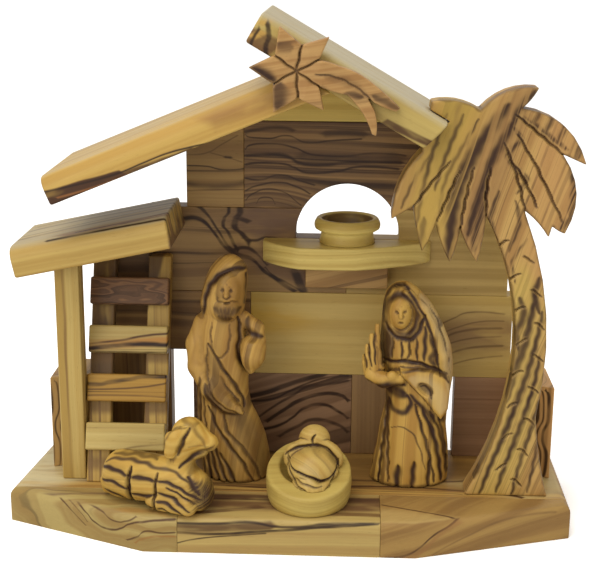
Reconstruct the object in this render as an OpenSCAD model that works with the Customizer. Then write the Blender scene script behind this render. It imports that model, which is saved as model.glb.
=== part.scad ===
// Wooden nativity stable, glued up from olive-wood boards, with carved figures and a candle cup.
// Millimetres, +Z up, front towards -Y, origin at the centre of the base's underside.

/* [Base] */
// Width of the base between its two side corners
base_w = 250; // [236:1:276]
// Depth of the base, front edge to back edge
base_d = 86; // [82:1:100]
// Thickness of the base boards
base_t = 16; // [10:0.5:24]
// Distance of the straight front edge's left end from the middle
base_front_left = 61; // [50:0.5:75]
// Distance of the straight front edge's right end from the middle
base_front_right = 56; // [48:0.5:75]
// Distance of the left side corner behind the front edge
base_left_corner = 27.5; // [15:0.5:36]
// Distance of the right side corner behind the front edge
base_right_corner = 23; // [15:0.5:36]
// How far the left side leans inward from its corner to the back edge
base_left_lean = 7; // [0:0.5:12]
// Radius of the rounded top edge
base_edge_r = 4; // [1:0.5:6]
// Depth of the front strip, which is glued up from three short boards
front_strip_d = 29; // [20:0.5:40]
// Distance of the front strip's left seam from the middle
front_seam_left = 46; // [36:0.5:56]
// Distance of the front strip's right seam from the middle
front_seam_right = 41; // [32:0.5:52]

/* [Wall] */
// Thickness of the wall boards
wall_t = 10.6; // [8:0.2:12]
// Height of one row of wall boards
board_h = 40; // [38:0.5:42]
// Distance of the wall's left end from the middle of the base
wall_left = 91; // [88:0.5:94]
// Distance of the wall's right end from the middle of the base
wall_right = 102; // [98:0.5:106]
// Height of the gap that the second row leaves open above the left doorway
door_gap_h = 11; // [6:0.5:16]
// Width of the foot board that stands at the wall's left end
foot_board_w = 33; // [28:0.5:36]
// Width of the left doorway
door_left_w = 10.5; // [6:0.5:14]
// Width of the right doorway
door_right_w = 8; // [6:0.5:14]
// Width of the board right of the right doorway
corner_board_w = 25.5; // [20:0.5:30]
// Height of the gable above the fourth row of boards, up to the ridge
gable_rise = 19; // [16:0.5:22]
// Radius of the arched window
arch_r = 23.7; // [20:0.1:25]
// Distance of the arched window's middle right of the base's middle
arch_x = 24.5; // [22:0.5:27]

/* [Roof] */
// Distance that the roof reaches forward of the wall
roof_overhang = 55; // [48:0.5:58]
// Distance of the ridge right of the base's middle
ridge_x = 17; // [14:0.5:20]
// Slope of the right roof slab
roof_right_slope = 30; // [28:0.5:32]
// Slope of the left roof slab
roof_left_slope = 22.5; // [20:0.5:24]
// Thickness of the right roof slab
roof_right_t = 13.5; // [11:0.5:15]
// Thickness of the left roof slab
roof_left_t = 12.5; // [10:0.5:15]
// Length of the right slab below the ridge, along its underside
roof_right_len = 44; // [42:0.5:47]
// How much further the right slab reaches on top, its lower end being undercut
roof_right_undercut = 4; // [0:0.5:6]
// Length of the left slab below the ridge, along its underside
roof_left_len = 126; // [118:0.5:130]
// Length of the right slab that reaches up past the ridge
ridge_overshoot = 40; // [34:0.5:44]
// Radius of the rounded front edge on top of each slab
roof_edge_r = 6; // [2:0.5:8]

/* [Lean-to] */
// Length of the lean-to's roof slab, along its underside
leanto_len = 69.5; // [64:0.5:74]
// Thickness of the lean-to's roof slab
leanto_t = 13.5; // [11:0.5:15]
// Slope of the lean-to's roof slab
leanto_slope = 12; // [10:0.5:13]
// Depth of the lean-to's roof slab, forward of the wall
leanto_d = 47.4; // [42:0.5:52]
// Distance of the slab's left end from the middle of the base
leanto_left = 118; // [114:0.5:122]
// Height of the slab's underside above the base, at its left end
leanto_h = 97; // [92:0.5:102]
// Width of the post
post_w = 10.8; // [8:0.2:12]
// Depth of the post
post_d = 10.5; // [8:0.5:14]
// Distance of the post's left face from the middle of the base
post_left = 103.4; // [102:0.2:106]
// Distance of the post's front face behind the slab's front edge
post_inset = 10; // [6:0.5:14]

/* [Ladder] */
// Width of the ladder over both rails
ladder_w = 36; // [33:0.5:38]
// Distance of the ladder's left edge from the middle of the base
ladder_left = 92; // [90:0.5:92]
// Width of one rail
rail_w = 10.5; // [8:0.5:12]
// Thickness of one rail
rail_t = 6; // [4:0.5:8]
// Height of the rail tops above the base
ladder_rise = 98; // [88:1:100]
// Distance of the ladder's foot behind the base's front edge
ladder_foot = 35; // [34:0.5:40]
// Number of rungs
rung_count = 4; // [3:1:4]
// Height of one flat rung
rung_h = 12.5; // [9:0.5:15]
// Thickness of one flat rung
rung_t = 5.5; // [3:0.5:6]
// Rise from one rung to the next
rung_pitch = 20.8; // [18:0.2:22]
// Height of the lowest rung's lower edge above the base
rung_first = 14; // [8:0.5:16]

/* [Shelf and candle cup] */
// Width of the shelf
shelf_w = 77; // [72:0.5:82]
// Depth of the shelf, forward of the wall
shelf_d = 21; // [19:0.5:24]
// Thickness of the shelf
shelf_t = 10; // [7:0.5:12]
// Height of the shelf's top above the base
shelf_h = 106.2; // [102:0.2:110]
// Width of the block under the shelf
bracket_w = 37.5; // [28:0.5:44]
// Height of the block under the shelf
bracket_h = 11.5; // [8:0.5:14]
// Depth of the block under the shelf
bracket_d = 8; // [5:0.5:12]
// Diameter of the candle that the cup takes
candle_d = 22; // [19:0.1:23]
// Gap between the candle and the bore, on each side
candle_gap = 0.5; // [0.3:0.1:0.9]
// Depth of the candle bore
candle_bore_h = 8.5; // [6:0.5:9.5]
// Height of the candle cup
cup_h = 11.5; // [10.5:0.5:14]
// Radius of the cup at its foot
cup_foot_r = 12.75; // [12.6:0.05:13.5]
// Radius of the cup at its rim
cup_rim_r = 15; // [14:0.1:16]
// Distance of the cup's foot behind the shelf's front edge
cup_inset = 2.3; // [0:0.1:3]
// Height of the rounded lip at the cup's rim
cup_lip = 1.5; // [0.8:0.1:2]
// Size of the small turned steps on the cup
cup_bead = 0.5; // [0.3:0.1:0.8]

/* [Side blocks] */
// Height of the low blocks at the wall's ends
side_h = 44; // [36:0.5:50]
// Width of the left block
side_left_w = 19.5; // [16:0.5:22]
// Width of the right block
side_right_w = 17.5; // [14:0.5:19]
// Distance that both blocks reach forward of the wall, at their outer corner
side_run = 24; // [20:0.5:26]
// How much shorter the blocks are along their inner side
side_skew = 7; // [4:0.5:9]
// Length along which the blocks are glued to the wall's ends
side_seat = 4.6; // [3:0.2:8]

/* [Star] */
// Length of the star's rays from its middle
star_r = 19; // [17:0.5:20]
// Thickness of the star and its tail
star_t = 5; // [4:0.5:6]
// Distance of the star's middle left of the ridge
star_left = 14; // [12:0.5:16]
// Height of the star's middle above the ridge
star_up = 9; // [7:0.5:11]
// Depth of the grooves between the rays
star_groove = 1.4; // [0.6:0.1:2]

/* [Palm] */
// Height of the palm above the base
palm_h = 182; // [176:1:186]
// Spread of the palm's crown
palm_w = 82; // [76:1:84]
// Thickness of the board that the palm is cut from
palm_t = 13; // [9:0.5:15]
// Distance of the palm's foot right of the middle of the base
palm_x = 96.7; // [94:0.1:98]
// Depth of the notches and grooves carved in the palm
palm_groove = 1.2; // [0.6:0.1:2]

/* [Figures] */
// Height of the standing man
man_h = 104; // [94:1:108]
// Width of the standing man over both arms
man_w = 36; // [32:0.5:37]
// Height of the standing woman
woman_h = 93; // [84:1:97]
// Width of the standing woman over her hands and her veil
woman_w = 42; // [38:0.5:43]
// Width of the manger
manger_w = 38; // [36:0.5:40]
// Length of the manger, front to back
manger_l = 42; // [40:0.5:43]
// Height of the manger at its back
manger_h = 21; // [19:0.5:23]
// Height of the manger at its front
manger_front_h = 9; // [7.5:0.5:11]
// Length of the sheep's body
sheep_l = 52; // [48:0.5:54]
// Height of the sheep's back
sheep_h = 25; // [22:0.5:27]
// Turn of the sheep away from the front edge
sheep_turn = 20; // [16:1:24]
// Depth of the cuts that part the sheep's wool
wool_cut = 2.4; // [1:0.2:3]

/* [Hidden] */

// Overrun of every cut past the face that it opens
overrun = 1;
// Clearance between pieces that pass close by each other
clearance = 0.4;
// Thickness of the thin slices that a rounded edge is drawn from
slice_t = 0.02;
// Facets of a rounded edge, and of one curved stretch of an outline
edge_steps = 5;
curve_steps = 6;
// Facets of a turned or round-sawn edge
round_fn = 96;
// Sides of a carved body, and facets of its rounded limbs and of a gouge line
loft_sides = 24;
limb_fn = 16;
gouge_fn = 8;
// Radius of a gouge line, as a share of a figure's width
gouge_share = 0.024;

// Rows of boards below the gable
row_count = 4;

// The levels and planes that the pieces share
front_y = -base_d / 2;
back_y = base_d / 2;
deck_z = base_t;
wall_front = back_y - wall_t;
deck_d = base_d - wall_t;
roof_front = wall_front - roof_overhang;
gable_z = row_z(row_count);
ridge_z = gable_z + gable_rise;
sill_z = deck_z + shelf_h;
// A length past every edge of the whole stable, for trimming
reach = base_w + palm_h;

// The wall's seams: row 1 and row 4 right of the middle, the others left of it
seam_row_1 = 28;
seam_row_2 = 20;
seam_row_3_end = 67;
seam_row_4 = 23;
row_3_short = 3;
row_4_left = 49.3;
row_4_right = 60;
// Height of the arched window's centre above its sill
arch_spring = 1.8;

// Where the figures stand, right of the middle, and how far back as a share of the deck's depth
man_x = -25;
woman_x = 55;
manger_x = 9.6;
sheep_x = -56;
figure_row_share = 0.663;
sheep_row_share = 0.2;
palm_row_share = 0.411;
// Distance of the manger behind the base's front edge
manger_inset = 1.6;
man_at = [man_x, figure_row_share * deck_d];
woman_at = [woman_x, figure_row_share * deck_d];
manger_at = [manger_x, manger_inset + manger_l / 2];
sheep_at = [sheep_x, sheep_row_share * deck_d];
// Depth of a figure, front to back
man_d = 27;
woman_d = 28;
sheep_w = 20;

// The top of a row of wall boards
function row_z(n) = deck_z + n * board_h;

// The underside of the lean-to's roof at a distance from the middle
function leanto_z(x) = deck_z + leanto_h + (x + leanto_left) * tan(leanto_slope);

// Points on a quarter round from one direction to another about a centre
function arc_points(c, r, a0, a1) =
    [for (i = [0:edge_steps]) let (a = a0 + (a1 - a0) * i / edge_steps) c + r * [cos(a), sin(a)]];

// Points on a bowed stretch from a to just before b; a positive bow swells to the right of travel
function bowed(a, b, bow) = let (d = b - a, side = [d.y, -d.x], n = bow == 0 ? 1 : curve_steps)
    [for (i = [0:n - 1]) let (t = i / n) a + d * t + side * bow * 4 * t * (1 - t)];

// A closed outline through [x share, y share, bow of the stretch to the next point]
function outline(shares, size) = let (n = len(shares), at = [for (p = shares) [p.x * size.x, p.y * size.y]])
    [for (i = [0:n - 1]) each bowed(at[i], at[(i + 1) % n], shares[i].z)];

// A plate cut to a flat outline and stood upright, with its front face at a depth
module upright(front, thick) {
    translate([0, front + thick, 0]) rotate([90, 0, 0]) linear_extrude(thick) children();
}

// A V groove along a line in the front face of an upright plate
module groove(from, to, depth, front) {
    d = to - from;
    side = depth * sqrt(2);
    translate([from.x, front, from.y]) rotate([0, -atan2(d.y, d.x), 0]) rotate([45, 0, 0])
        translate([0, -side / 2, -side / 2]) cube([norm(d), side, side]);
}

// A sawn slab with a rounded front edge on top, starting at its front corner below
module plank(length, depth, thick, edge_r) {
    rotate([90, 0, 90]) linear_extrude(length)
        polygon(concat([[0, 0]], [for (p = arc_points([edge_r, thick - edge_r], edge_r, 180, 90)) p],
            [[depth, thick], [depth, 0]]));
}

// A body skinned over level rings of [x, y, z, half width, half depth]
module loft(rings) {
    n = len(rings);
    k = loft_sides;
    points = [for (r = rings, i = [0:k - 1])
        [r[0] + r[3] * cos(i * 360 / k), r[1] + r[4] * sin(i * 360 / k), r[2]]];
    bottom = [for (i = [0:k - 1]) i];
    top = [for (i = [k - 1:-1:0]) (n - 1) * k + i];
    sides = [for (j = [0:n - 2], i = [0:k - 1]) let (a = j * k + i, b = j * k + (i + 1) % k)
        each [[a, a + k, b + k], [a, b + k, b]]];
    polyhedron(points, concat([bottom, top], sides));
}

// A carved body: rings given as shares of its [width, depth, height]
module carved(ring_shares, size) {
    loft([for (r = ring_shares)
        [r[0] * size.x, r[1] * size.y, r[2] * size.z, r[3] * size.x, r[4] * size.y]]);
}

// A limb or a fold: rounded stretches through [x, y, z, radius], given as shares of a body's size
module limb(joint_shares, size, fn = limb_fn) {
    for (i = [1:len(joint_shares) - 1]) hull() {
        knuckle(joint_shares[i - 1], size, fn);
        knuckle(joint_shares[i], size, fn);
    }
}

// One rounded end of a limb, its radius a share of the body's width
module knuckle(share, size, fn = limb_fn) {
    translate([share[0] * size.x, share[1] * size.y, share[2] * size.z])
        sphere(share[3] * size.x, $fn = fn);
}

// An egg-shaped swelling or hollow, given as shares of a body's size
module egg(at_share, radii_share, size) {
    translate([at_share.x * size.x, at_share.y * size.y, at_share.z * size.z])
        scale([radii_share.x * size.x, radii_share.y * size.y, radii_share.z * size.z])
            sphere(1, $fn = limb_fn);
}

// The value that a column of a carved body's rings has at a height share
function ring_at(h, rings, column) = lookup(h, [for (r = rings) [r[2], r[column]]]);

// Depth share of a carved body's front skin at [x share, height share]
function skin_share(at, rings) =
    let (t = (at.x - ring_at(at.y, rings, 0)) / ring_at(at.y, rings, 3))
        -ring_at(at.y, rings, 4) * sqrt(max(0, 1 - t * t));

// A gouge line over the front of a carved body, through [x share, height share]
module gouge(path_shares, rings, size) {
    limb([for (p = path_shares) [p.x, skin_share(p, rings), p.y, gouge_share]], size, gouge_fn);
}

// Where a figure stands on the deck
module standing(at) {
    translate([at.x, front_y + at.y, deck_z]) children();
}

// BASE: the outline of the boards glued together
function base_plan() = [[-base_front_left, front_y], [base_front_right, front_y],
    [base_w / 2, front_y + base_right_corner], [base_w / 2, back_y],
    [-base_w / 2 + base_left_lean, back_y], [-base_w / 2, front_y + base_left_corner]];

module base_blank() {
    hull() {
        linear_extrude(base_t - base_edge_r) polygon(base_plan());
        for (i = [0:edge_steps]) let (a = 90 * i / edge_steps)
            translate([0, 0, base_t - base_edge_r * (1 - sin(a)) - slice_t])
                linear_extrude(slice_t) offset(delta = -base_edge_r * (1 - cos(a))) polygon(base_plan());
    }
}

module base_board(x0, x1, y0, y1) {
    intersection() {
        base_blank();
        translate([x0, y0, -overrun]) cube([x1 - x0, y1 - y0, base_t + 2 * overrun]);
    }
}

module base_back_board() color("khaki")
    base_board(-base_w, base_w, front_y + front_strip_d, base_d);
module base_front_board_left() color("darkkhaki")
    base_board(-base_w, -front_seam_left, -base_d, front_y + front_strip_d);
module base_front_board_middle() color("peru")
    base_board(-front_seam_left, front_seam_right, -base_d, front_y + front_strip_d);
module base_front_board_right() color("goldenrod")
    base_board(front_seam_right, base_w, -base_d, front_y + front_strip_d);

// WALL: rows of boards, trimmed under the roof and round the arched window
module above_roof() {
    polygon([[ridge_x, ridge_z], [ridge_x - reach, ridge_z - reach * tan(roof_left_slope)],
        [ridge_x - reach, ridge_z + reach], [ridge_x + reach, ridge_z + reach],
        [ridge_x + reach, ridge_z - reach * tan(roof_right_slope)]]);
}

module window() {
    difference() {
        translate([arch_x, sill_z + arch_spring]) circle(arch_r, $fn = round_fn);
        translate([arch_x - reach / 2, sill_z - reach]) square(reach);
    }
}

module wall_board(x0, x1, z0, z1) {
    upright(wall_front, wall_t) difference() {
        translate([x0, z0]) square([x1 - x0, z1 - z0]);
        above_roof();
        window();
    }
}

foot_right = -wall_left + foot_board_w;
door_top = row_z(1) + door_gap_h;
corner_left = wall_right - corner_board_w;

module wall_foot_board() color("saddlebrown")
    wall_board(-wall_left, foot_right, row_z(0), door_top);
module wall_board_1_left() color("sienna")
    wall_board(foot_right + door_left_w, seam_row_1, row_z(0), row_z(1));
module wall_board_1_middle() color("peru")
    wall_board(seam_row_1, corner_left - door_right_w, row_z(0), row_z(1));
module wall_board_1_right() color("saddlebrown")
    wall_board(corner_left, wall_right, row_z(0), row_z(1));
module wall_board_2_left() color("peru")
    wall_board(-wall_left, -seam_row_2, door_top, row_z(2));
module wall_board_2_right() color("khaki")
    wall_board(-seam_row_2, wall_right, row_z(1), row_z(2));
module wall_board_3_left() color("peru")
    wall_board(-seam_row_3_end, arch_x, row_z(2), row_z(3));
module wall_board_3_right() color("darkkhaki")
    wall_board(arch_x, wall_right - row_3_short, row_z(2), row_z(3));
module wall_board_4_left() color("peru")
    wall_board(-row_4_left, -seam_row_4, row_z(3), row_z(4));
module wall_board_4_right() color("saddlebrown")
    wall_board(-seam_row_4, row_4_right, row_z(3), row_z(4));
module gable_board() color("khaki")
    wall_board(-row_4_left, row_4_right, gable_z, ridge_z);

// The short end board of row 3 rises only to the lean-to's roof
module wall_board_3_end() color("peru")
    upright(wall_front, wall_t)
        polygon([[-wall_left, row_z(2)], [-seam_row_3_end, row_z(2)],
            [-seam_row_3_end, leanto_z(-seam_row_3_end)], [-wall_left, leanto_z(-wall_left)]]);

// ROOF: two slabs; the right one lies over the mitred end of the left one
module roof_left() color("khaki") difference() {
    translate([ridge_x, roof_front, ridge_z]) rotate([0, -roof_left_slope, 0])
        translate([-roof_left_len, 0, 0])
            plank(roof_left_len + roof_left_t, roof_overhang + wall_t, roof_left_t, roof_edge_r);
    translate([ridge_x, roof_front - overrun, ridge_z]) rotate([0, roof_right_slope, 0])
        translate([-reach, 0, 0])
            cube([2 * reach, roof_overhang + wall_t + 2 * overrun, reach]);
}

module roof_right() color("khaki")
    translate([ridge_x, roof_front, ridge_z]) rotate([0, roof_right_slope, 0]) difference() {
        translate([-ridge_overshoot, 0, 0])
            plank(ridge_overshoot + roof_right_len + roof_right_undercut, roof_overhang + wall_t,
                roof_right_t, roof_edge_r);
        translate([roof_right_len, -overrun, 0])
            rotate([0, atan(roof_right_undercut / roof_right_t), 0])
                translate([0, 0, -roof_right_t])
                    cube([roof_right_t, roof_overhang + wall_t + 2 * overrun, 3 * roof_right_t]);
    }

// STAR: five rays and a two-pronged comet's tail, grooved from the middle
ray_first = 46;
ray_step = 65;
ray_count = 5;
star_waist_share = 0.56;
// Tail outline from its lower root to its upper one, in ray lengths from the star's middle
tail_shares = [[0.49, -0.32, 0.02], [1.08, -0.48, -0.07], [1.62, -1.3, 0], [1.71, -1.34, 0.1],
    [1.54, -0.57, 0.03], [2.12, -0.82, 0], [2.2, -0.75, 0.02], [1.65, -0.26, 0.06],
    [0.9, 0.12, 0.03], [0.48, 0.24, 0]];

function flat(p) = [p.x, p.y];
function ray(share, angle) = star_r * share * [cos(angle), sin(angle)];

module star_outline() {
    tail = star_r * [for (p = tail_shares) flat(p)];
    polygon(concat([for (k = [0:ray_count - 1]) let (a = ray_first + k * ray_step)
            each k < ray_count - 1 ? [ray(1, a), ray(star_waist_share, a + ray_step / 2)] : [ray(1, a)]],
        [for (i = [0:len(tail) - 2]) each bowed(tail[i], tail[i + 1], tail_shares[i].z)],
        [tail[len(tail) - 1]]));
}

module star() color("chocolate")
    translate([ridge_x - star_left, 0, ridge_z + star_up]) difference() {
        upright(roof_front - star_t, star_t) star_outline();
        for (k = [0:ray_count - 2])
            groove([0, 0], ray(1, ray_first + (k + 0.5) * ray_step), star_groove, roof_front - star_t);
        for (root = [tail_shares[0], tail_shares[len(tail_shares) - 1]])
            groove([0, 0], star_r * flat(root), star_groove, roof_front - star_t);
    }

// LEAN-TO: a slab on a post, with a ladder against the wall
leanto_front = wall_front - leanto_d;

module leanto_roof() color("peru")
    translate([-leanto_left, leanto_front, leanto_z(-leanto_left)])
        rotate([0, -leanto_slope, 0]) plank(leanto_len, leanto_d, leanto_t, roof_edge_r);

module leanto_post() color("khaki")
    upright(leanto_front + post_inset, post_d)
        polygon([[-post_left, deck_z], [-post_left + post_w, deck_z],
            [-post_left + post_w, leanto_z(-post_left + post_w)], [-post_left, leanto_z(-post_left)]]);

// The rails lean so that their upper back corners rest on the wall
foot_y = front_y + ladder_foot;
rail_run = wall_front - foot_y - rail_t;
ladder_lean = atan(rail_run / ladder_rise);

module ladder_rail(x) {
    translate([x, 0, deck_z]) rotate([90, 0, 90]) linear_extrude(rail_w)
        polygon([[foot_y, 0], [foot_y + rail_t, 0], [wall_front, ladder_rise],
            [wall_front - rail_t, ladder_rise]]);
}

module ladder_rung(n) {
    rise = rung_first + (n - 1) * rung_pitch;
    translate([-ladder_left, foot_y + rise * tan(ladder_lean), deck_z + rise])
        rotate([-ladder_lean, 0, 0]) translate([0, -rung_t, 0]) cube([ladder_w, rung_t, rung_h]);
}

module ladder_rail_left() color("khaki") ladder_rail(-ladder_left);
module ladder_rail_right() color("khaki") ladder_rail(-ladder_left + ladder_w - rail_w);
module ladder_rung_1() color("khaki") ladder_rung(1);
module ladder_rung_2() color("goldenrod") ladder_rung(2);
module ladder_rung_3() color("peru") ladder_rung(3);
module ladder_rung_4() color("saddlebrown") if (rung_count > 3) ladder_rung(4);

// SHELF AND CANDLE CUP: the shelf's plan, in shares of its half width and its depth
shelf_shares = [[-1, 0, 0], [-1, -0.25, 0.08], [-0.56, -0.98, 0.02], [0.1, -1, 0.04],
    [0.86, -0.36, 0.1], [1, 0, 0]];

module shelf() color("khaki")
    translate([arch_x, wall_front, sill_z - shelf_t]) linear_extrude(shelf_t)
        polygon(outline(shelf_shares, [shelf_w / 2, shelf_d]));

module shelf_bracket() color("peru")
    translate([arch_x - bracket_w / 2, wall_front - bracket_d, sill_z - shelf_t - bracket_h])
        cube([bracket_w, bracket_d, bracket_h]);

cup_y = wall_front - shelf_d + cup_inset + cup_foot_r;
bore_r = candle_d / 2 + candle_gap;
// The turned profile above the foot ring, in shares of the foot's and the rim's radius and of the height
groove_share = 0.45;
groove_deep_share = 0.93;

module candle_cup() color("khaki")
    translate([arch_x, cup_y, sill_z]) difference() {
        rotate_extrude($fn = round_fn) polygon([[0, 0], [cup_foot_r, 0],
            [cup_foot_r * groove_deep_share + cup_bead, cup_h * groove_share - cup_bead],
            [cup_foot_r * groove_deep_share, cup_h * groove_share],
            [(cup_foot_r + cup_rim_r) / 2, cup_h * groove_share + cup_bead],
            [cup_rim_r, cup_h - cup_lip], [cup_rim_r - cup_bead, cup_h], [0, cup_h]]);
        translate([0, 0, cup_h - candle_bore_h])
            cylinder(h = candle_bore_h + overrun, r = bore_r, $fn = round_fn);
    }

// SIDE BLOCKS: glued to the wall's ends, their front ends sawn at a slant
module side_block(end_x, width) {
    outer_x = end_x + sign(end_x) * width;
    translate([0, 0, deck_z]) linear_extrude(side_h)
        polygon([[end_x, wall_front + side_seat], [end_x, wall_front - side_run + side_skew],
            [outer_x, wall_front - side_run], [outer_x, wall_front + side_seat]]);
}

module side_block_left() color("peru") side_block(-wall_left, side_left_w);
module side_block_right() color("peru") side_block(wall_right, side_right_w);

// PALM: one board sawn to the outline of a palm, notched over the roof's corner.
// The outline runs counter-clockwise from the foot, in shares of the spread and the height.
palm_shares = [[-0.22, 0, 0], [0.23, 0, -0.025], [0.145, 0.207, 0.075], [0.026, 0.712, -0.05],
    [0.156, 0.649, 0], [0.171, 0.676, 0.05], [0.237, 0.659, 0.157], [0.204, 0.844, 0],
    [0.326, 0.82, 0.163], [-0.013, 0.948, 0.05], [0.066, 0.995, 0.13], [-0.222, 0.943, 0.1],
    [-0.468, 0.961, 0], [-0.51, 0.847, 0.1], [-0.656, 0.687, 0], [-0.542, 0.718, 0.03],
    [-0.492, 0.61, 0.03], [-0.425, 0.678, 0.04], [-0.345, 0.586, 0.04], [-0.301, 0.669, 0.04],
    [-0.207, 0.587, 0.03], [-0.169, 0.7, -0.07], [0.013, 0.36, -0.06]];
// Carved cuts between the fronds, each from [x share, height share] to another
frond_cut_shares = [[-0.09, 0.93, 0.26, 0.82], [-0.05, 0.874, 0.22, 0.68], [-0.123, 0.878, 0.026, 0.714],
    [-0.4, 0.8, -0.56, 0.7], [-0.33, 0.78, -0.425, 0.678], [-0.25, 0.79, -0.301, 0.669],
    [-0.16, 0.8, -0.17, 0.7]];
// The trunk's middle line as [height share, x share], and the carved notches along it
trunk_shares = [[0, 0], [0.2, 0.055], [0.4, 0.097], [0.55, 0.05], [0.68, -0.06]];
trunk_notches = 13;
trunk_top_share = 0.66;
notch_share = 0.075;
notch_slant = 38;

palm_face = front_y + palm_row_share * deck_d;
function palm_at(share) = [share.x * palm_w, share.y * palm_h];

// The right slab's outline with clearance round it
module roof_corner() {
    translate([ridge_x - palm_x, ridge_z - deck_z]) rotate(-roof_right_slope)
        offset(delta = clearance) polygon([[0, 0], [roof_right_len, 0],
            [roof_right_len + roof_right_undercut, roof_right_t], [0, roof_right_t]]);
}

module palm() color("peru") translate([palm_x, 0, deck_z]) difference() {
    upright(palm_face, palm_t) difference() {
        polygon(outline(palm_shares, [palm_w, palm_h]));
        roof_corner();
    }
    for (cut = frond_cut_shares)
        groove(palm_at([cut[0], cut[1]]), palm_at([cut[2], cut[3]]), palm_groove, palm_face);
    for (i = [1:trunk_notches]) let (h = trunk_top_share * i / (trunk_notches + 1),
        side = i % 2 * 2 - 1,
        mid = palm_at([lookup(h, trunk_shares) + side * notch_share / 2, h]),
        half = notch_share * palm_w * [cos(notch_slant), -side * sin(notch_slant)])
            groove(mid - half, mid + half, palm_groove, palm_face);
}

// FIGURES: rings are shares of the width, the depth and the height, from the ground up
man_rings_share = [[0.006, 0, 0, 0.425, 0.474], [0.006, 0, 0.048, 0.439, 0.474],
    [-0.008, 0, 0.115, 0.433, 0.456], [-0.044, 0, 0.192, 0.422, 0.43], [-0.1, 0, 0.269, 0.386, 0.4],
    [-0.144, 0, 0.327, 0.344, 0.385], [-0.167, 0, 0.404, 0.328, 0.385], [-0.164, 0, 0.481, 0.331, 0.393],
    [-0.172, 0, 0.558, 0.311, 0.393], [-0.167, 0, 0.635, 0.306, 0.385], [-0.167, 0, 0.692, 0.289, 0.356],
    [-0.153, 0, 0.74, 0.256, 0.326], [-0.156, 0, 0.788, 0.283, 0.37], [-0.131, 0, 0.846, 0.275, 0.378],
    [-0.103, 0, 0.894, 0.261, 0.341], [-0.078, 0, 0.942, 0.228, 0.274], [-0.067, 0, 0.971, 0.178, 0.207],
    [-0.064, 0, 0.99, 0.111, 0.133], [-0.064, 0, 1, 0.056, 0.067]];
// Gouge lines: the edge of the long sleeve, the folds of the robe, and the flutes at its foot
man_gouge_shares = [[[-0.32, 0.635], [-0.22, 0.567], [-0.11, 0.51], [0.01, 0.44], [0.09, 0.375]],
    [[-0.32, 0.375], [-0.255, 0.29], [-0.14, 0.225], [0.05, 0.13], [0.26, 0]],
    [[-0.115, 0.315], [-0.09, 0.25], [0.05, 0.19], [0.19, 0.11], [0.33, 0]],
    [[-0.42, 0.48], [-0.44, 0.35], [-0.45, 0.21]], [[-0.37, 0.17], [-0.27, 0]],
    [[-0.31, 0.17], [-0.17, 0]], [[-0.245, 0.16], [-0.07, 0]], [[-0.175, 0.145], [0.04, 0]]];

module man() color("peru") standing(man_at) difference() {
    size = [man_w, man_d, man_h];
    union() {
        difference() {
            carved(man_rings_share, size);
            egg([-0.08, -0.467, 0.86], [0.192, 0.207, 0.092], size);
        }
        // Face, nose and beard inside the hood
        egg([-0.08, -0.237, 0.863], [0.156, 0.181, 0.079], size);
        limb([[-0.08, -0.4, 0.88, 0.02], [-0.08, -0.43, 0.846, 0.026]], size);
        egg([-0.1, -0.274, 0.775], [0.164, 0.17, 0.048], size);
        // Left arm down to its pointed sleeve
        limb([[-0.4, -0.04, 0.7, 0.11], [-0.478, -0.07, 0.606, 0.133], [-0.45, -0.15, 0.51, 0.133],
            [-0.278, -0.3, 0.418, 0.139], [-0.083, -0.37, 0.36, 0.106], [0.083, -0.42, 0.332, 0.05]], size);
        // Right arm bent to the shoulder, with its short wide sleeve
        difference() {
            limb([[0.11, -0.04, 0.72, 0.094], [0.267, -0.07, 0.683, 0.094], [0.31, -0.15, 0.63, 0.1],
                [0.233, -0.185, 0.6, 0.167], [0.222, -0.22, 0.563, 0.15],
                [0.194, -0.26, 0.512, 0.067]], size);
            egg([0.21, -0.37, 0.665], [0.13, 0.2, 0.03], size);
        }
        // Raised fold of the robe
        limb([[-0.22, -0.33, 0.35, 0.05], [-0.17, -0.36, 0.27, 0.055], [-0.05, -0.4, 0.2, 0.055],
            [0.117, -0.42, 0.12, 0.055], [0.28, -0.4, 0.06, 0.055]], size);
    }
    for (path = man_gouge_shares) gouge(path, man_rings_share, size);
}

woman_rings_share = [[-0.012, 0, 0, 0.426, 0.486], [0.004, 0, 0.065, 0.421, 0.479],
    [0.024, 0, 0.172, 0.388, 0.45], [0.024, 0, 0.29, 0.355, 0.421], [0.057, 0, 0.398, 0.333, 0.404],
    [0.067, 0, 0.484, 0.352, 0.414], [0.06, 0, 0.57, 0.379, 0.425], [0.024, 0, 0.688, 0.381, 0.425],
    [-0.019, 0, 0.796, 0.329, 0.404], [-0.071, 0, 0.892, 0.262, 0.364], [-0.119, 0, 0.957, 0.186, 0.264],
    [-0.131, 0, 0.989, 0.11, 0.15], [-0.133, 0, 1, 0.057, 0.079]];
// Gouge lines: the sash, the folds of the skirt, and those over the chest
woman_gouge_shares = [[[-0.3, 0.635], [-0.14, 0.64], [0.06, 0.637], [0.2, 0.607]],
    [[-0.25, 0.45], [-0.3, 0.31], [-0.365, 0]], [[-0.19, 0.387], [-0.24, 0.21], [-0.29, 0]],
    [[-0.12, 0.43], [-0.14, 0.32], [-0.18, 0.13]], [[0.05, 0.44], [0.105, 0.3], [0.15, 0.19], [0.205, 0]],
    [[0.14, 0.43], [0.25, 0.29], [0.31, 0.15], [0.35, 0]], [[0.1, 0.365], [0.2, 0.215], [0.27, 0]]];
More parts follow.
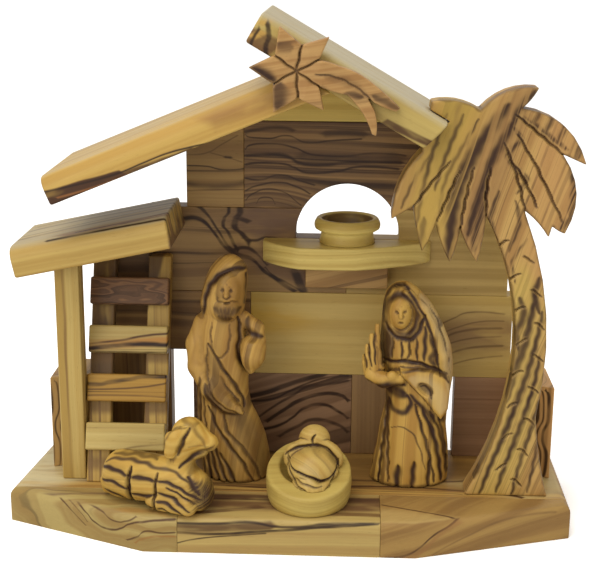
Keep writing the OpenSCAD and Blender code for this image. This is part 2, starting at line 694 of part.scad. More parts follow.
// The raised hand's fingers, each through [x, y, z, radius]
finger_shares = [
    [[-0.357, -0.307, 0.602, 0.05], [-0.381, -0.293, 0.72, 0.043], [-0.39, -0.271, 0.822, 0.024]],
    [[-0.414, -0.329, 0.591, 0.048], [-0.438, -0.321, 0.688, 0.04], [-0.448, -0.307, 0.766, 0.021]],
    [[-0.462, -0.307, 0.581, 0.043], [-0.486, -0.3, 0.65, 0.036], [-0.498, -0.286, 0.703, 0.019]],
    [[-0.495, -0.271, 0.574, 0.033], [-0.519, -0.257, 0.617, 0.029], [-0.531, -0.25, 0.645, 0.017]]];

module woman() color("peru") standing(woman_at) difference() {
    size = [woman_w, woman_d, woman_h];
    union() {
        difference() {
            carved(woman_rings_share, size);
            egg([-0.148, -0.45, 0.866], [0.171, 0.221, 0.116], size);
            limb([[-0.13, -0.554, 0.763, 0.124], [-0.07, -0.571, 0.667, 0.143]], size);
            egg([-0.131, -0.52, 0.468], [0.143, 0.114, 0.054], size);
        }
        egg([-0.152, -0.236, 0.877], [0.117, 0.168, 0.082], size);
        limb([[-0.152, -0.38, 0.895, 0.013], [-0.152, -0.405, 0.86, 0.019]], size);
        // Veil from the crown of the head down the right side
        limb([[-0.083, -0.264, 0.955, 0.048], [0.071, -0.307, 0.887, 0.062], [0.2, -0.3, 0.769, 0.071],
            [0.295, -0.25, 0.656, 0.071], [0.348, -0.164, 0.538, 0.071]], size);
        // Wide sleeve, with its hollow
        difference() {
            hull() {
                knuckle([-0.1, -0.4, 0.575, 0.045], size);
                knuckle([0.32, -0.3, 0.53, 0.06], size);
                knuckle([0.34, -0.3, 0.44, 0.05], size);
                knuckle([0.29, -0.37, 0.375, 0.04], size);
            }
            limb([[0.07, -0.49, 0.53, 0.04], [0.18, -0.46, 0.49, 0.045]], size);
        }
        // Forearm, and the raised hand
        limb([[-0.155, -0.386, 0.554, 0.071], [-0.31, -0.386, 0.544, 0.081], [-0.443, -0.314, 0.566, 0.076]],
            size);
        for (finger = finger_shares) limb(finger, size);
    }
    for (path = woman_gouge_shares) gouge(path, woman_rings_share, size);
}

manger_rings_share = [[0, 0, 0, 0.45, 0.45], [0, 0, 0.14, 0.485, 0.485], [0, 0, 0.45, 0.5, 0.5],
    [0, 0, 1, 0.47, 0.48]];
manger_wall_share = 0.14;

// A round bowl whose rim falls towards the front
module bowl(size) {
    difference() {
        carved(manger_rings_share, size);
        translate([-manger_w, -manger_l / 2, manger_front_h])
            rotate([atan((manger_h - manger_front_h) / manger_l), 0, 0])
                translate([0, -manger_l, 0]) cube([2 * manger_w, 3 * manger_l, 2 * manger_h]);
        egg([0, 0.03, 0.95], [0.5 - manger_wall_share, 0.5 - manger_wall_share, 0.75], size);
    }
}

module manger() color("khaki") standing(manger_at) render() bowl([manger_w, manger_l, manger_h]);

// The child lies in the manger: a swaddled body with a collar of cloth behind the shoulders
collar_rise_share = 0.39;
collar_half_share = 0.295;
// Directions round the collar's arc, from one shoulder over the top to the other
collar_turns = [-20:22:200];
swaddle_gouge_shares = [[-0.174, -0.19, 0.93, 0.022], [-0.1, -0.28, 0.838, 0.022],
    [0.047, -0.32, 0.733, 0.022], [0.2, -0.285, 0.762, 0.022], [0.279, -0.195, 0.886, 0.022]];

module child() color("khaki") standing(manger_at) render() difference() {
    size = [manger_w, manger_l, manger_h];
    union() {
        hull() {
            knuckle([0.05, -0.205, 0.58, 0.18], size);
            knuckle([0.05, -0.07, 0.82, 0.278], size);
        }
        limb([[0.05, 0.03, 0.905, 0.2], [0.068, 0.148, 1.286, 0.163]], size);
        limb([for (a = collar_turns) [0.05 + collar_half_share * cos(a), 0.07,
            0.981 + collar_rise_share * sin(a), 0.087]], size);
    }
    limb(swaddle_gouge_shares, size, gouge_fn);
    bowl(size);
}

// The sheep lies on its folded legs and looks back over its shoulder; x runs along its body
sheep_rings_share = [[0, 0.42, -0.5, 0.12, 0.14], [0, 0.45, -0.47, 0.36, 0.36], [0, 0.49, -0.36, 0.48, 0.49],
    [0, 0.5, -0.1, 0.5, 0.5], [0, 0.5, 0.16, 0.5, 0.49], [0, 0.49, 0.38, 0.45, 0.46],
    [0, 0.47, 0.47, 0.34, 0.36], [0, 0.45, 0.5, 0.12, 0.14]];
wool_cut_shares = [-0.21, 0.01];

module sheep() color("goldenrod") standing(sheep_at) rotate(-sheep_turn) difference() {
    size = [sheep_l, sheep_w, sheep_h];
    union() {
        difference() {
            rotate([90, 0, 90]) carved(sheep_rings_share, [sheep_w, sheep_h, sheep_l]);
            for (x = wool_cut_shares) translate([x * sheep_l, -sheep_w / 2, sheep_h / 2])
                rotate(45) cube([wool_cut * sqrt(2), wool_cut * sqrt(2), sheep_h * 2], center = true);
        }
        // Neck, head with its snout and jaw, and the leaf-shaped ear in front
        limb([[0.3, 0.03, 0.68, 0.154], [0.21, 0.04, 1.06, 0.115], [0.265, 0.07, 1.368, 0.138],
            [0.469, 0.1, 1.256, 0.071]], size);
        limb([[0.2, 0.04, 1.04, 0.096], [0.4, 0.08, 1.1, 0.058]], size);
        limb([[0.258, -0.24, 1.56, 0.023], [0.204, -0.32, 1.32, 0.058], [0.165, -0.3, 1.056, 0.035]], size);
        // Folded legs
        limb([[0.04, -0.38, 0.184, 0.073], [0.346, -0.35, 0.184, 0.081]], size);
        limb([[-0.446, -0.2, 0.34, 0.058], [-0.465, -0.1, 0.16, 0.05]], size);
        limb([[0.3, 0.3, 0.16, 0.075], [0, 0.42, 0.13, 0.065]], size);
    }
    translate([-sheep_l, -sheep_l, -sheep_h]) cube([2 * sheep_l, 2 * sheep_l, sheep_h]);
}

base_back_board();
base_front_board_left();
base_front_board_middle();
base_front_board_right();
wall_foot_board();
wall_board_1_left();
wall_board_1_middle();
wall_board_1_right();
wall_board_2_left();
wall_board_2_right();
wall_board_3_end();
wall_board_3_left();
wall_board_3_right();
wall_board_4_left();
wall_board_4_right();
gable_board();
roof_left();
roof_right();
star();
leanto_roof();
leanto_post();
ladder_rail_left();
ladder_rail_right();
ladder_rung_1();
ladder_rung_2();
ladder_rung_3();
ladder_rung_4();
shelf();
shelf_bracket();
candle_cup();
side_block_left();
side_block_right();
palm();
man();
woman();
manger();
child();
sheep();
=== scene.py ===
import math
from functools import partial

import bmesh
import bpy
import numpy as np
from mathutils import Matrix, Vector


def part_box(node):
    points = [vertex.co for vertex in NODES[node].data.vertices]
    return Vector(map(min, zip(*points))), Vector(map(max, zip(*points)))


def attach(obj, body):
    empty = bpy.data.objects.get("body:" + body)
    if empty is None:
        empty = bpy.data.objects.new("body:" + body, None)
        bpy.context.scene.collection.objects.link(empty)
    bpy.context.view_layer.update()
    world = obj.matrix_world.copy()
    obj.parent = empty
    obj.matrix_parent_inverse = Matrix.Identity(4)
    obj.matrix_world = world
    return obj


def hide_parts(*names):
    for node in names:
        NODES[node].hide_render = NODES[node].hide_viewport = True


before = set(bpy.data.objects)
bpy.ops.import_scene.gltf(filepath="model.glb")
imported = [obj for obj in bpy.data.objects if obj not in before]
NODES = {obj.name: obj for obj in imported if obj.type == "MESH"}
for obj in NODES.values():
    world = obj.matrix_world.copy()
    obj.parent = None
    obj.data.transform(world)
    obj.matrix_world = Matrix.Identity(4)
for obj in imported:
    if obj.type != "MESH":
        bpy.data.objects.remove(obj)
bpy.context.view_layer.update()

# Lengths are in millimetres until a mesh is made; MM turns them into metres.
MM = 0.001
# Grid step of the carved pieces, and of the finer small ones
CLAY_STEP = 0.5
FINE_STEP = 0.36
# The deck's top, which the figures and the palm stand on
DECK = 16


def box_mm(node):
    """The lowest and the highest corner of a CAD node."""
    low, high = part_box(node)
    return np.array(low) / MM, np.array(high) / MM


def rows(text):
    """Reads a table in text: of each row the words, the numbers, the named numbers and the places."""
    for row in map(str.strip, text.strip().splitlines()):
        if row.startswith("#"):
            continue
        words, numbers, named, places = [], [], {}, []
        for word in row.split():
            name, _, value = word.rpartition("=")
            if name:
                named[name] = float(value)
            elif "," in word:
                places.append(tuple(float(part) for part in word.split(",")))
            elif word[-1].isdigit() and "/" not in word:
                numbers.append(float(word))
            else:
                words.append(word)
        yield words, numbers, named, places


# Distance fields

def smin(a, b, k):
    """The smaller of two distances, blended over k millimetres."""
    if k <= 0:
        return np.minimum(a, b)
    h = np.clip(0.5 + 0.5 * (b - a) / k, 0, 1)
    return b * (1 - h) + a * h - k * h * (1 - h)


def smax(a, b, k):
    return -smin(-a, -b, k)


def path_distance(x, z, path):
    """Distance to a drawn line, and how far along the line the nearest place is, 0 to 1."""
    lengths = [math.dist(a, b) for a, b in zip(path[:-1], path[1:])]
    best, share, done = np.inf, 0.0, 0.0
    for (x0, z0), (x1, z1), length in zip(path[:-1], path[1:], lengths):
        dx, dz = x1 - x0, z1 - z0
        t = np.clip(((x - x0) * dx + (z - z0) * dz) / length ** 2, 0, 1)
        d = np.hypot(x - x0 - t * dx, z - z0 - t * dz)
        share = np.where(d < best, (done + t * length) / sum(lengths), share)
        best = np.minimum(best, d)
        done += length
    return best, share


def curve(path, parts=4):
    """A smooth line through drawn points."""
    if len(path) < 3:
        return path
    round_again = path[0] == path[-1]
    ends = (path[-2], path[1]) if round_again else (path[0], path[-1])
    all_of = [ends[0]] + list(path) + [ends[1]]
    out = []
    for four in zip(all_of[:-3], all_of[1:-2], all_of[2:-1], all_of[3:]):
        for t in (i / parts for i in range(parts)):
            out.append(tuple(
                b + t / 2 * (c - a + t * (2 * a - 5 * b + 4 * c - d + t * (3 * b - a - 3 * c + d)))
                for a, b, c, d in zip(*four)))
    return out + [path[-1]]


def drawn(x, z, path, width):
    """Distance to a drawn line in line widths, and the hand's pressure there, less at its ends."""
    # The hand trembles by a fifth of a millimetre
    x, z = x + 0.2 * np.sin(0.9 * z + 0.5 * x), z + 0.2 * np.sin(0.8 * x - 0.6 * z)
    d, share = path_distance(x, z, curve(path))
    press = 1.0
    if path[0] != path[-1]:
        press = 0.35 + 0.65 * np.sqrt(np.clip(4 * share * (1 - share), 0, 1))
    return d / (width * press), press


def inside_distance(x, z, outline):
    """Signed distance to a closed outline, negative inside."""
    best = path_distance(x, z, outline + outline[:1])[0]
    inside = np.zeros(np.broadcast(x, z).shape, bool)
    for (x0, z0), (x1, z1) in zip(outline, outline[1:] + outline[:1]):
        if z0 == z1:
            continue
        crosses = (z0 > z) != (z1 > z)
        inside ^= crosses & (x < (x1 - x0) * (z - z0) / (z1 - z0) + x0)
    return np.where(inside, -best, best)


UNITS = np.eye(3, dtype=int)
# A form's grid goes on round it by this many steps, and starts out far from any surface
MARGIN, FAR = 2.5, 1e3
# Hollows bent more than the first are darkened, and ridges bent more than the second are rubbed pale
HOLLOW, RIDGE = 0.12, 0.4


class Clay:
    """A carved form: distances on a grid, skinned at zero."""

    def __init__(self, low, high, step):
        self.step = step
        axes = [np.arange(a - MARGIN * step, b + (MARGIN + 1) * step, step, dtype=np.float32)
                for a, b in zip(low, high)]
        self.low = np.array([a[0] for a in axes])
        self.x = axes[0][:, None, None]
        self.y = axes[1][None, :, None]
        self.z = axes[2][None, None, :]
        self.d = np.full([len(a) for a in axes], FAR, np.float32)
        self.stains = []

    def add(self, dist, k=0.8):
        self.d = smin(self.d, dist, k)

    def cut(self, dist, k=0.8):
        self.d = smax(self.d, -dist, k)

    def ball(self, places, turn=0.0):
        """An ellipsoid by its centre and its radii, turned in the front view by so many degrees."""
        centre, radii = places
        x, y, z = self.x - centre[0], self.y - centre[1], self.z - centre[2]
        if turn:
            c, s = math.cos(math.radians(turn)), math.sin(math.radians(turn))
            x, z = x * c + z * s, z * c - x * s
        a, b, c = radii
        k0 = np.sqrt((x / a) ** 2 + (y / b) ** 2 + (z / c) ** 2)
        k1 = np.sqrt((x / a ** 2) ** 2 + (y / b ** 2) ** 2 + (z / c ** 2) ** 2)
        return k0 * (k0 - 1) / np.maximum(k1, 1e-6)

    def tube(self, joints, k=0.8, flat=1.0):
        """Rounded stretches through (x, y, z, radius); flat squeezes them front to back."""
        best = None
        for (x0, y0, z0, r0), (x1, y1, z1, r1) in zip(joints[:-1], joints[1:]):
            dx, dy, dz = x1 - x0, (y1 - y0) / flat, z1 - z0
            x, y, z = self.x - x0, (self.y - y0) / flat, self.z - z0
            t = np.clip((x * dx + y * dy + z * dz) / (dx * dx + dy * dy + dz * dz), 0, 1)
            d = np.sqrt((x - t * dx) ** 2 + (y - t * dy) ** 2 + (z - t * dz) ** 2) - (r0 + (r1 - r0) * t)
            best = d if best is None else smin(best, d, k)
        return best * min(1.0, flat)

    def rings(self, places, along="z", smooth=2.5, cap=2.0):
        """A body skinned over (place, centre u, centre v, half u, half v) along an axis."""
        a, u, v = {"z": (self.z, self.x, self.y), "x": (self.x, self.y, self.z)}[along]
        levels = np.array(places, np.float32)
        step = 0.25
        fine = np.arange(levels[0, 0], levels[-1, 0] + 0.01, step, dtype=np.float32)
        reach = int(smooth / step)
        kernel = np.hanning(2 * reach + 3)[1:-1]
        kernel /= kernel.sum()
        cols = []
        for i in range(1, 5):
            line = np.interp(fine, levels[:, 0], levels[:, i])
            cols.append(np.convolve(np.pad(line, reach, mode="edge"), kernel, mode="valid"))
        cu, cv, hu, hv = [np.interp(a, fine, c) for c in cols]
        uu, vv = (u - cu) / hu, (v - cv) / hv
        r = np.sqrt(uu ** 2 + vv ** 2)
        mean = np.sqrt(hu * hv)
        lean = np.sqrt((uu * hv) ** 2 + (vv * hu) ** 2) / np.maximum(r, 1e-3) / mean
        side = (r - 1) * mean / np.maximum(0.6, lean)
        ends = np.maximum(levels[0, 0] - a, a - levels[-1, 0])
        return smax(side, ends + 0 * side, cap)

    def prism(self, outline, y0, y1, k):
        """An outline of (x, z) points given a thickness from y0 to y1, its edges rounded."""
        x, z = np.broadcast_arrays(self.x[:, 0, :], self.z[0])
        flat = inside_distance(x, z, outline)
        thick = np.abs(self.y - (y0 + y1) / 2) - (y1 - y0) / 2
        return smax(flat[:, None, :] + 0 * thick, thick, k)

    def stroke(self, path, width, depth, front=0.0, sharp=False, soot=None, spread=1.3):
        """Carves a drawn line into what faces the front; a negative depth raises it."""
        x, z = np.broadcast_arrays(self.x[:, 0, :], self.z[0])
        d, press = drawn(x, z, path, width)
        fall = np.clip(1 - d, 0, 1) if sharp else np.exp(-d ** 2)
        facing = np.clip((front - self.y) / 2 + 0.5, 0, 1)
        self.d = self.d + depth * (fall * press)[:, None, :] * facing
        soot = min(0.9, max(0.0, depth)) if soot is None else soot
        if soot:
            self.stain(path, width * spread, soot, front)

    def stain(self, path, width, power, front=0.0, kind="soot"):
        """Tones what faces the front along a drawn line: soot and dark darken it, pale lightens it."""
        self.stains.append((kind, path, width, power, front))

    def draw(self, text):
        """Works through a table. add and cut take a form, how far it blends in and its places; gouge and
        knife take a width, a depth and a path; soot, dark and pale take a width, a power and a path."""
        for (kind, *form), numbers, named, places in rows(text):
            if kind in ("add", "cut"):
                shape = getattr(self, form[0])(places, *form[1:], **named)
                getattr(self, kind)(shape, *numbers)
            elif kind in ("gouge", "knife"):
                self.stroke(places, *numbers, sharp=kind == "knife", **named)
            else:
                self.stain(places, *numbers, kind=kind, **named)

    def shades(self, points, cells):
        """Each vertex's stains and its worn ridge, 0 to 1."""
        out = {kind: np.zeros(len(points)) for kind in ("soot", "dark", "pale")}
        for kind, path, width, power, front in self.stains:
            low, high = np.min(path, axis=0) - 2 * width, np.max(path, axis=0) + 2 * width
            near = np.all((points[:, ::2] > low) & (points[:, ::2] < high), axis=1)
            near &= points[:, 1] < front + 1
            x, y, z = points[near].T
            d, press = drawn(x, z, path, width)
            fall = np.exp(-d ** 3) * np.clip((front - y) / 2 + 0.5, 0, 1)
            out[kind][near] = np.maximum(out[kind][near], power * fall)
        bend = -6 * self.d
        for axis in range(3):
            bend = bend + np.roll(self.d, 2, axis) + np.roll(self.d, -2, axis)
        bend = bend[tuple(cells.T)] / (2 * self.step) ** 2
        out["soot"] = np.maximum(out["soot"], np.clip((-bend - HOLLOW) * 1.1, 0, 0.75))
        out["worn"] = np.clip((bend - RIDGE) * 0.8, 0, 1)
        return out

    def mesh(self, name, place=(0, 0, 0), turn=0.0):
        """Surface nets: one vertex in each cell that the surface crosses."""
        d = self.d
        inside = d < 0
        shape = tuple(n - 1 for n in d.shape)
        count = np.zeros(shape, np.int8)
        corners = [(i, j, k) for i in (0, 1) for j in (0, 1) for k in (0, 1)]
        for i, j, k in corners:
            count += inside[i:i + shape[0], j:j + shape[1], k:k + shape[2]]
        active = (count > 0) & (count < 8)
        cells = np.argwhere(active)
        index = np.full(shape, -1, np.int64)
        index[active] = np.arange(len(cells))
        total, hits = np.zeros((len(cells), 3)), np.zeros(len(cells))
        for axis, step in enumerate(UNITS):
            for corner in corners:
                if corner[axis]:
                    continue
                at = cells + corner
                a, b = d[tuple(at.T)], d[tuple((at + step).T)]
                cross = (a < 0) != (b < 0)
                t = a[cross] / (a[cross] - b[cross])
                total[cross] += np.array(corner) + t[:, None] * step
                hits[cross] += 1
        verts = (cells + total / hits[:, None]) * self.step + self.low
        shades = self.shades(verts, cells)
        faces = []
        for axis, step in enumerate(UNITS):
            eu, ev = UNITS[axis - 2], UNITS[axis - 1]
            a = inside[tuple(slice(0, n - s) for n, s in zip(d.shape, step))]
            b = inside[tuple(slice(s, n) for n, s in zip(d.shape, step))]
            at = np.argwhere(a != b)
            at = at[np.all((at - eu - ev >= 0) & (at < np.array(shape)) | (step > 0), axis=1)]
            leaving = a[tuple(at.T)]
            quad = np.stack([index[tuple((at - eu - ev).T)], index[tuple((at - ev).T)],
                             index[tuple(at.T)], index[tuple((at - eu).T)]], axis=1)
            quad[~leaving] = quad[~leaving][:, ::-1]
            faces.append(quad)
        faces = np.concatenate(faces)
        if turn:
            c, s = math.cos(math.radians(turn)), math.sin(math.radians(turn))
            verts = np.stack([verts[:, 0] * c - verts[:, 1] * s,
                              verts[:, 0] * s + verts[:, 1] * c, verts[:, 2]], axis=1)
        verts = (verts + np.array(place)) * MM
        mesh = bpy.data.meshes.new(name)
        mesh.from_pydata(verts.tolist(), [], faces.tolist())
        for kind, values in shades.items():
            layer = mesh.attributes.new(kind, "FLOAT", "POINT")
            layer.data.foreach_set("value", values.astype(np.float32))
        mesh.validate()
        mesh.shade_smooth()
        return mesh


# Wood

SHADES = {"gold": (190, 150, 76), "brown": (146, 112, 66), "umber": (112, 82, 48), "deep": (90, 66, 44),
          "bark": (82, 54, 32), "soot": (58, 37, 24), "ink": (48, 31, 20),
          # The last shade is the pale colour of painted sheen along the tops of the roof's slabs
          "whitish": (210, 190, 142), "bleached": (186, 176, 148)}


def tone(shade):
    """A named shade, or one written r/g/b as it should look, as linear light."""
    lin = []
    for c in SHADES.get(shade) or map(int, shade.split("/")):
        c /= 255
        lin.append(c / 12.92 if c <= 0.04 else ((c + 0.055) / 1.055) ** 2.4)
    return (*lin, 1.0)


class Field:
    """A number worked out by shader nodes."""

    def __init__(self, tree, socket):
        self.tree, self.socket = tree, socket

    def _math(self, kind, *others, clamp=False):
        node = self.tree.nodes.new("ShaderNodeMath")
        node.operation, node.use_clamp = kind, clamp
        for i, other in enumerate((self,) + others):
            put(self.tree, other, node.inputs[i])
        return Field(self.tree, node.outputs[0])

    def __add__(self, o):
        return self._math("ADD", o)

    def __sub__(self, o):
        return self._math("SUBTRACT", o)

    def __rsub__(self, o):
        return (self * -1.0) + o

    def __mul__(self, o):
        return self._math("MULTIPLY", o)

    def __truediv__(self, o):
        return self._math("DIVIDE", o)

    __radd__, __rmul__ = __add__, __mul__

    def clip(self):
        return self._math("ADD", 0.0, clamp=True)

    def larger(self, o):
        return self._math("MAXIMUM", o)

    def root(self):
        return self._math("SQRT")

    def size(self):
        return self._math("ABSOLUTE")

    def rise(self, low, high):
        """0 below low, 1 above high, eased between."""
        node = self.tree.nodes.new("ShaderNodeMapRange")
        node.interpolation_type = "SMOOTHSTEP"
        put(self.tree, self, node.inputs["Value"])
        flip = low > high
        node.inputs["From Min"].default_value = min(low, high)
        node.inputs["From Max"].default_value = max(low, high)
        out = Field(self.tree, node.outputs["Result"])
        return 1.0 - out if flip else out


def put(tree, value, socket):
    if isinstance(value, Field):
        tree.links.new(value.socket, socket)
    else:
        socket.default_value = value


# Each noise of the wood: its scale, its detail, its roughness, and a shift that sets it apart
NOISES = {
    # Along the distance to the pith, in rings or lines
    "band": (1, 3.0, 0.6, 0.0), "thin": (1, 2.0, 0.65, 5.5), "broad": (1, 1.0, 0.5, 9.1),
    "streak": (1, 2.0, 0.6, 77.0),
    # In space, per millimetre: how the trunk bends, and how its lines ripple, come and go
    "bend_across": (None, 2.0, 0.45, 1.3), "bend_up": (None, 2.0, 0.45, 8.7),
    "ripple": (1 / 9, 1.0, 0.5, 4.1), "strength": (1 / 24, 2.0, 0.5, 12.9), "patch": (1 / 16, 1.0, 0.5, 21.0),
    # How a mark wavers and breaks, how uneven carved wood is, its clouds, fibres and pores
    "waver": (1 / 9, 3.0, 0.6, 31.0), "fade": (1 / 5, 2.0, 0.6, 71.0), "uneven": (1 / 5, 2.0, 0.6, 51.0),
    "cloud": (1 / 13, 3.0, 0.6, 17.0), "hair": (1.3, 3.0, 0.7, 2.2), "pore": (2.6, 1.0, 0.5, 40.0)}
# How much hair, clouds and pores change the shade, and hair and pores the roughness
HAIR_SHADE, CLOUD_SHADE, PORE_SHADE = 0.2, 0.22, 0.16
HAIR_ROUGH, PORE_ROUGH, ROUGHNESS = 0.16, 0.2, 0.36


class Wood:
    """Builds one material: growth rings round a pith, dark streaks, fibres and pores, all in 3-D."""

    def __init__(self, name, seed):
        self.material = bpy.data.materials.new(name)
        self.material.use_nodes = True
        self.tree = self.material.node_tree
        self.shader = next(n for n in self.tree.nodes if n.type == "BSDF_PRINCIPLED")
        self.seed = seed
        where = self.tree.nodes.new("ShaderNodeTexCoord")
        scale = self.tree.nodes.new("ShaderNodeVectorMath")
        scale.operation = "SCALE"
        scale.inputs["Scale"].default_value = 1 / MM
        self.tree.links.new(where.outputs["Object"], scale.inputs[0])
        self.place = scale.outputs[0]
        parts = self.tree.nodes.new("ShaderNodeSeparateXYZ")
        self.tree.links.new(self.place, parts.inputs[0])
        self.x, self.y, self.z = [Field(self.tree, s) for s in parts.outputs]

    def vector(self, a, b, c):
        node = self.tree.nodes.new("ShaderNodeCombineXYZ")
        for value, socket in zip((a, b, c), node.inputs):
            put(self.tree, value, socket)
        return node.outputs[0]

    def noise(self, where, kind, scale=None):
        """One of the NOISES, over a place in space or along one value."""
        usual, detail, rough, shift = NOISES[kind]
        along_value = isinstance(where, Field)
        node = self.tree.nodes.new("ShaderNodeTexNoise")
        node.noise_dimensions = "1D" if along_value else "4D"
        for name, value in (("Scale", scale or usual), ("Detail", detail), ("Roughness", rough)):
            node.inputs[name].default_value = value
        if along_value:
            put(self.tree, where + (self.seed * 7.31 + shift), node.inputs["W"])
        else:
            node.inputs["W"].default_value = self.seed * 3.17 + shift
            self.tree.links.new(where, node.inputs["Vector"])
        return Field(self.tree, node.outputs["Fac"])

    def shade_of(self, name):
        node = self.tree.nodes.new("ShaderNodeAttribute")
        node.attribute_name = name
        return Field(self.tree, node.outputs["Fac"])

    def mix(self, amount, a, b):
        node = self.tree.nodes.new("ShaderNodeMix")
        node.data_type = "RGBA"
        put(self.tree, amount, node.inputs["Factor"])
        for value, socket in ((a, node.inputs[6]), (b, node.inputs[7])):
            if isinstance(value, bpy.types.NodeSocket):
                self.tree.links.new(value, socket)
            else:
                socket.default_value = value
        return node.outputs[2]

    def line_mask(self, path, width, soft, u, w):
        """1 on a smooth line over (u, w) that runs on along u, 0 beyond its width; one point is a disc."""
        if len(path) == 1:
            du, dw = u - path[0][0], w - path[0][1]
            return (du * du + dw * dw).root().rise(width + soft, width - soft)
        low, high = path[0][0], path[-1][0]
        base = min(q for _, q in path)
        tall = max(1.0, max(q for _, q in path) - base)
        node = self.tree.nodes.new("ShaderNodeFloatCurve")
        put(self.tree, ((u - low) / (high - low)).clip(), node.inputs["Value"])
        points = node.mapping.curves[0].points
        places = [((p - low) / (high - low), (q - base) / tall) for p, q in path]
        points[0].location, points[1].location = places[0], places[-1]
        for place in places[1:-1]:
            points.new(*place)
        node.mapping.update()
        off = (w - (Field(self.tree, node.outputs[0]) * tall + base)).size()
        past = (low - u).larger(u - high).larger(0.0)
        return (off + past * 0.5).rise(width + soft, width - soft)


def wood(node, light, mid, dark, seed, grain=(0, 0, 0), pith=(0.0, -40.0), warp=5, ring=4, line=3.0,
         lines=(0.56, 0.64), line_power=0.8, patch=(0.75, 0.9), centre=(0, 0, 0), swirl=(), marks="",
         deck=None, bend=45.0, along=0.12, carved=False):
    """A material in three shades, all its lengths in millimetres.

    grain turns the model's axes, in degrees, so that the trunk runs along the first one, and centre is
    where they start. The rings are ring wide, lie round the pith and wander by warp over a stretch of
    bend. Thin lines stand line apart, lines and patch say how much of the wood they and the broad dark
    patches take up, and a swirl bends the rings round a knot. A mark is a drawn streak, one in a row: its
    plane, its shade, its strength, half its width, its softness and its path. Where deck is given, marks
    in the plane xy stay on top of it and the others below it.
    """
    light, mid, dark = tone(light), tone(mid), tone(dark)
    w = Wood("wood_" + node, seed)
    tree = w.tree
    turn = tree.nodes.new("ShaderNodeMapping")
    turn.vector_type = "TEXTURE"
    turn.inputs["Location"].default_value = centre
    turn.inputs["Rotation"].default_value = [math.radians(a) for a in grain]
    tree.links.new(w.place, turn.inputs["Vector"])
    parts = tree.nodes.new("ShaderNodeSeparateXYZ")
    tree.links.new(turn.outputs[0], parts.inputs[0])
    u, v, t = [Field(tree, s) for s in parts.outputs]

    # The trunk isn't straight: its rings wander slowly along the grain
    slow = w.vector(u * along * 2, v, t)
    v2 = v + (w.noise(slow, "bend_across", 1 / bend) - 0.5) * (2 * warp)
    t2 = t + (w.noise(slow, "bend_up", 1 / bend) - 0.5) * (2 * warp)
    for cu, cv, ct, radius, push in swirl:
        du, dv, dt = (u - cu) * 0.5, v - cv, t - ct
        near = (du * du + dv * dv + dt * dt).root().rise(radius, 0.0)
        t2 = t2 + near * push
    a, b = v2 - pith[0], t2 - pith[1]
    r = (a * a + b * b).root() + (w.noise(slow, "ripple") - 0.5) * (0.35 * warp)

    bands = w.noise(r / ring, "band").rise(0.32, 0.68)
    colour = w.mix(bands, light, mid)
    # Fine dark lines that come and go along the grain
    strength = w.noise(slow, "strength").rise(0.30, 0.62)
    thin = w.noise(r / line, "thin").rise(lines[0], lines[1])
    colour = w.mix(thin * strength * line_power, colour, dark)
    # Broad dark patches that follow the rings
    broad = w.noise(r / (ring * 2.2), "broad") * 0.65 + w.noise(slow, "patch") * 0.35
    colour = w.mix(broad.rise(patch[0], patch[1]), colour, dark)
    drift = (w.noise(slow, "waver") - 0.5) * 3.0
    fade = w.noise(slow, "fade").rise(0.28, 0.55) * 0.5 + 0.5
    place = {"x": w.x, "y": w.y, "z": w.z}
    for (plane, shade), (power, width, soft), _, path in rows(marks):
        first, second = place[plane[0]], place[plane[1]]
        # A line wavers; a disc doesn't
        if len(path) > 1:
            second = second + drift * min(1.0, width)
        mask = w.line_mask(path, width, soft, first, second)
        if deck is not None:
            top = w.z.rise(deck - 0.9, deck - 0.3)
            mask = mask * (top if plane == "xy" else 1.0 - top)
        colour = w.mix(mask * fade * power, colour, tone(shade))
    if carved:
        uneven = w.noise(slow, "uneven") * 0.8 + 0.62
        streak = w.noise(r / 1.3, "streak").rise(0.36, 0.58) * 0.75 + 0.35
        colour = w.mix(w.shade_of("pale") * 0.75, colour, tone("whitish"))
        colour = w.mix((w.shade_of("dark") * streak).clip(), colour, tone("soot"))
        colour = w.mix((w.shade_of("soot") * uneven).clip(), colour, tone("soot"))
        colour = w.mix(w.shade_of("worn") * 0.4, colour, light)
    # Fibres and pores
    hair = w.noise(w.vector(u * 0.05, v2, t2), "hair")
    pores = w.noise(w.vector(u * 0.10, v2, t2), "pore").rise(0.66, 0.78)
    cloud = w.noise(slow, "cloud")
    shade = 0.9 + hair * HAIR_SHADE + (cloud - 0.5) * CLOUD_SHADE - pores * PORE_SHADE
    bright = tree.nodes.new("ShaderNodeVectorMath")
    bright.operation = "SCALE"
    tree.links.new(colour, bright.inputs[0])
    put(tree, shade, bright.inputs["Scale"])
    tree.links.new(bright.outputs[0], w.shader.inputs["Base Color"])
    rough = (1.0 - hair) * HAIR_ROUGH + ROUGHNESS + pores * PORE_ROUGH
    put(tree, rough, w.shader.inputs["Roughness"])
    for name, value in (("Coat Weight", 0.05), ("Coat Roughness", 0.3), ("Specular IOR Level", 0.22)):
        w.shader.inputs[name].default_value = value
    bump = tree.nodes.new("ShaderNodeBump")
    bump.inputs["Strength"].default_value = 0.35
    bump.inputs["Distance"].default_value = 0.12 * MM
    put(tree, hair - pores * 0.7 - thin * 0.25, bump.inputs["Height"])
    tree.links.new(bump.outputs[0], w.shader.inputs["Normal"])
    return w.material


# Pieces

def keep(name, mesh, material, *nodes):
    """Puts a mesh in the scene as the piece that stands for CAD nodes."""
    piece = bpy.data.objects.new(name, mesh)
    bpy.context.scene.collection.objects.link(piece)
    mesh.materials.clear()
    mesh.materials.append(material)
    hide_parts(*nodes)
    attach(piece, "root")
    return piece


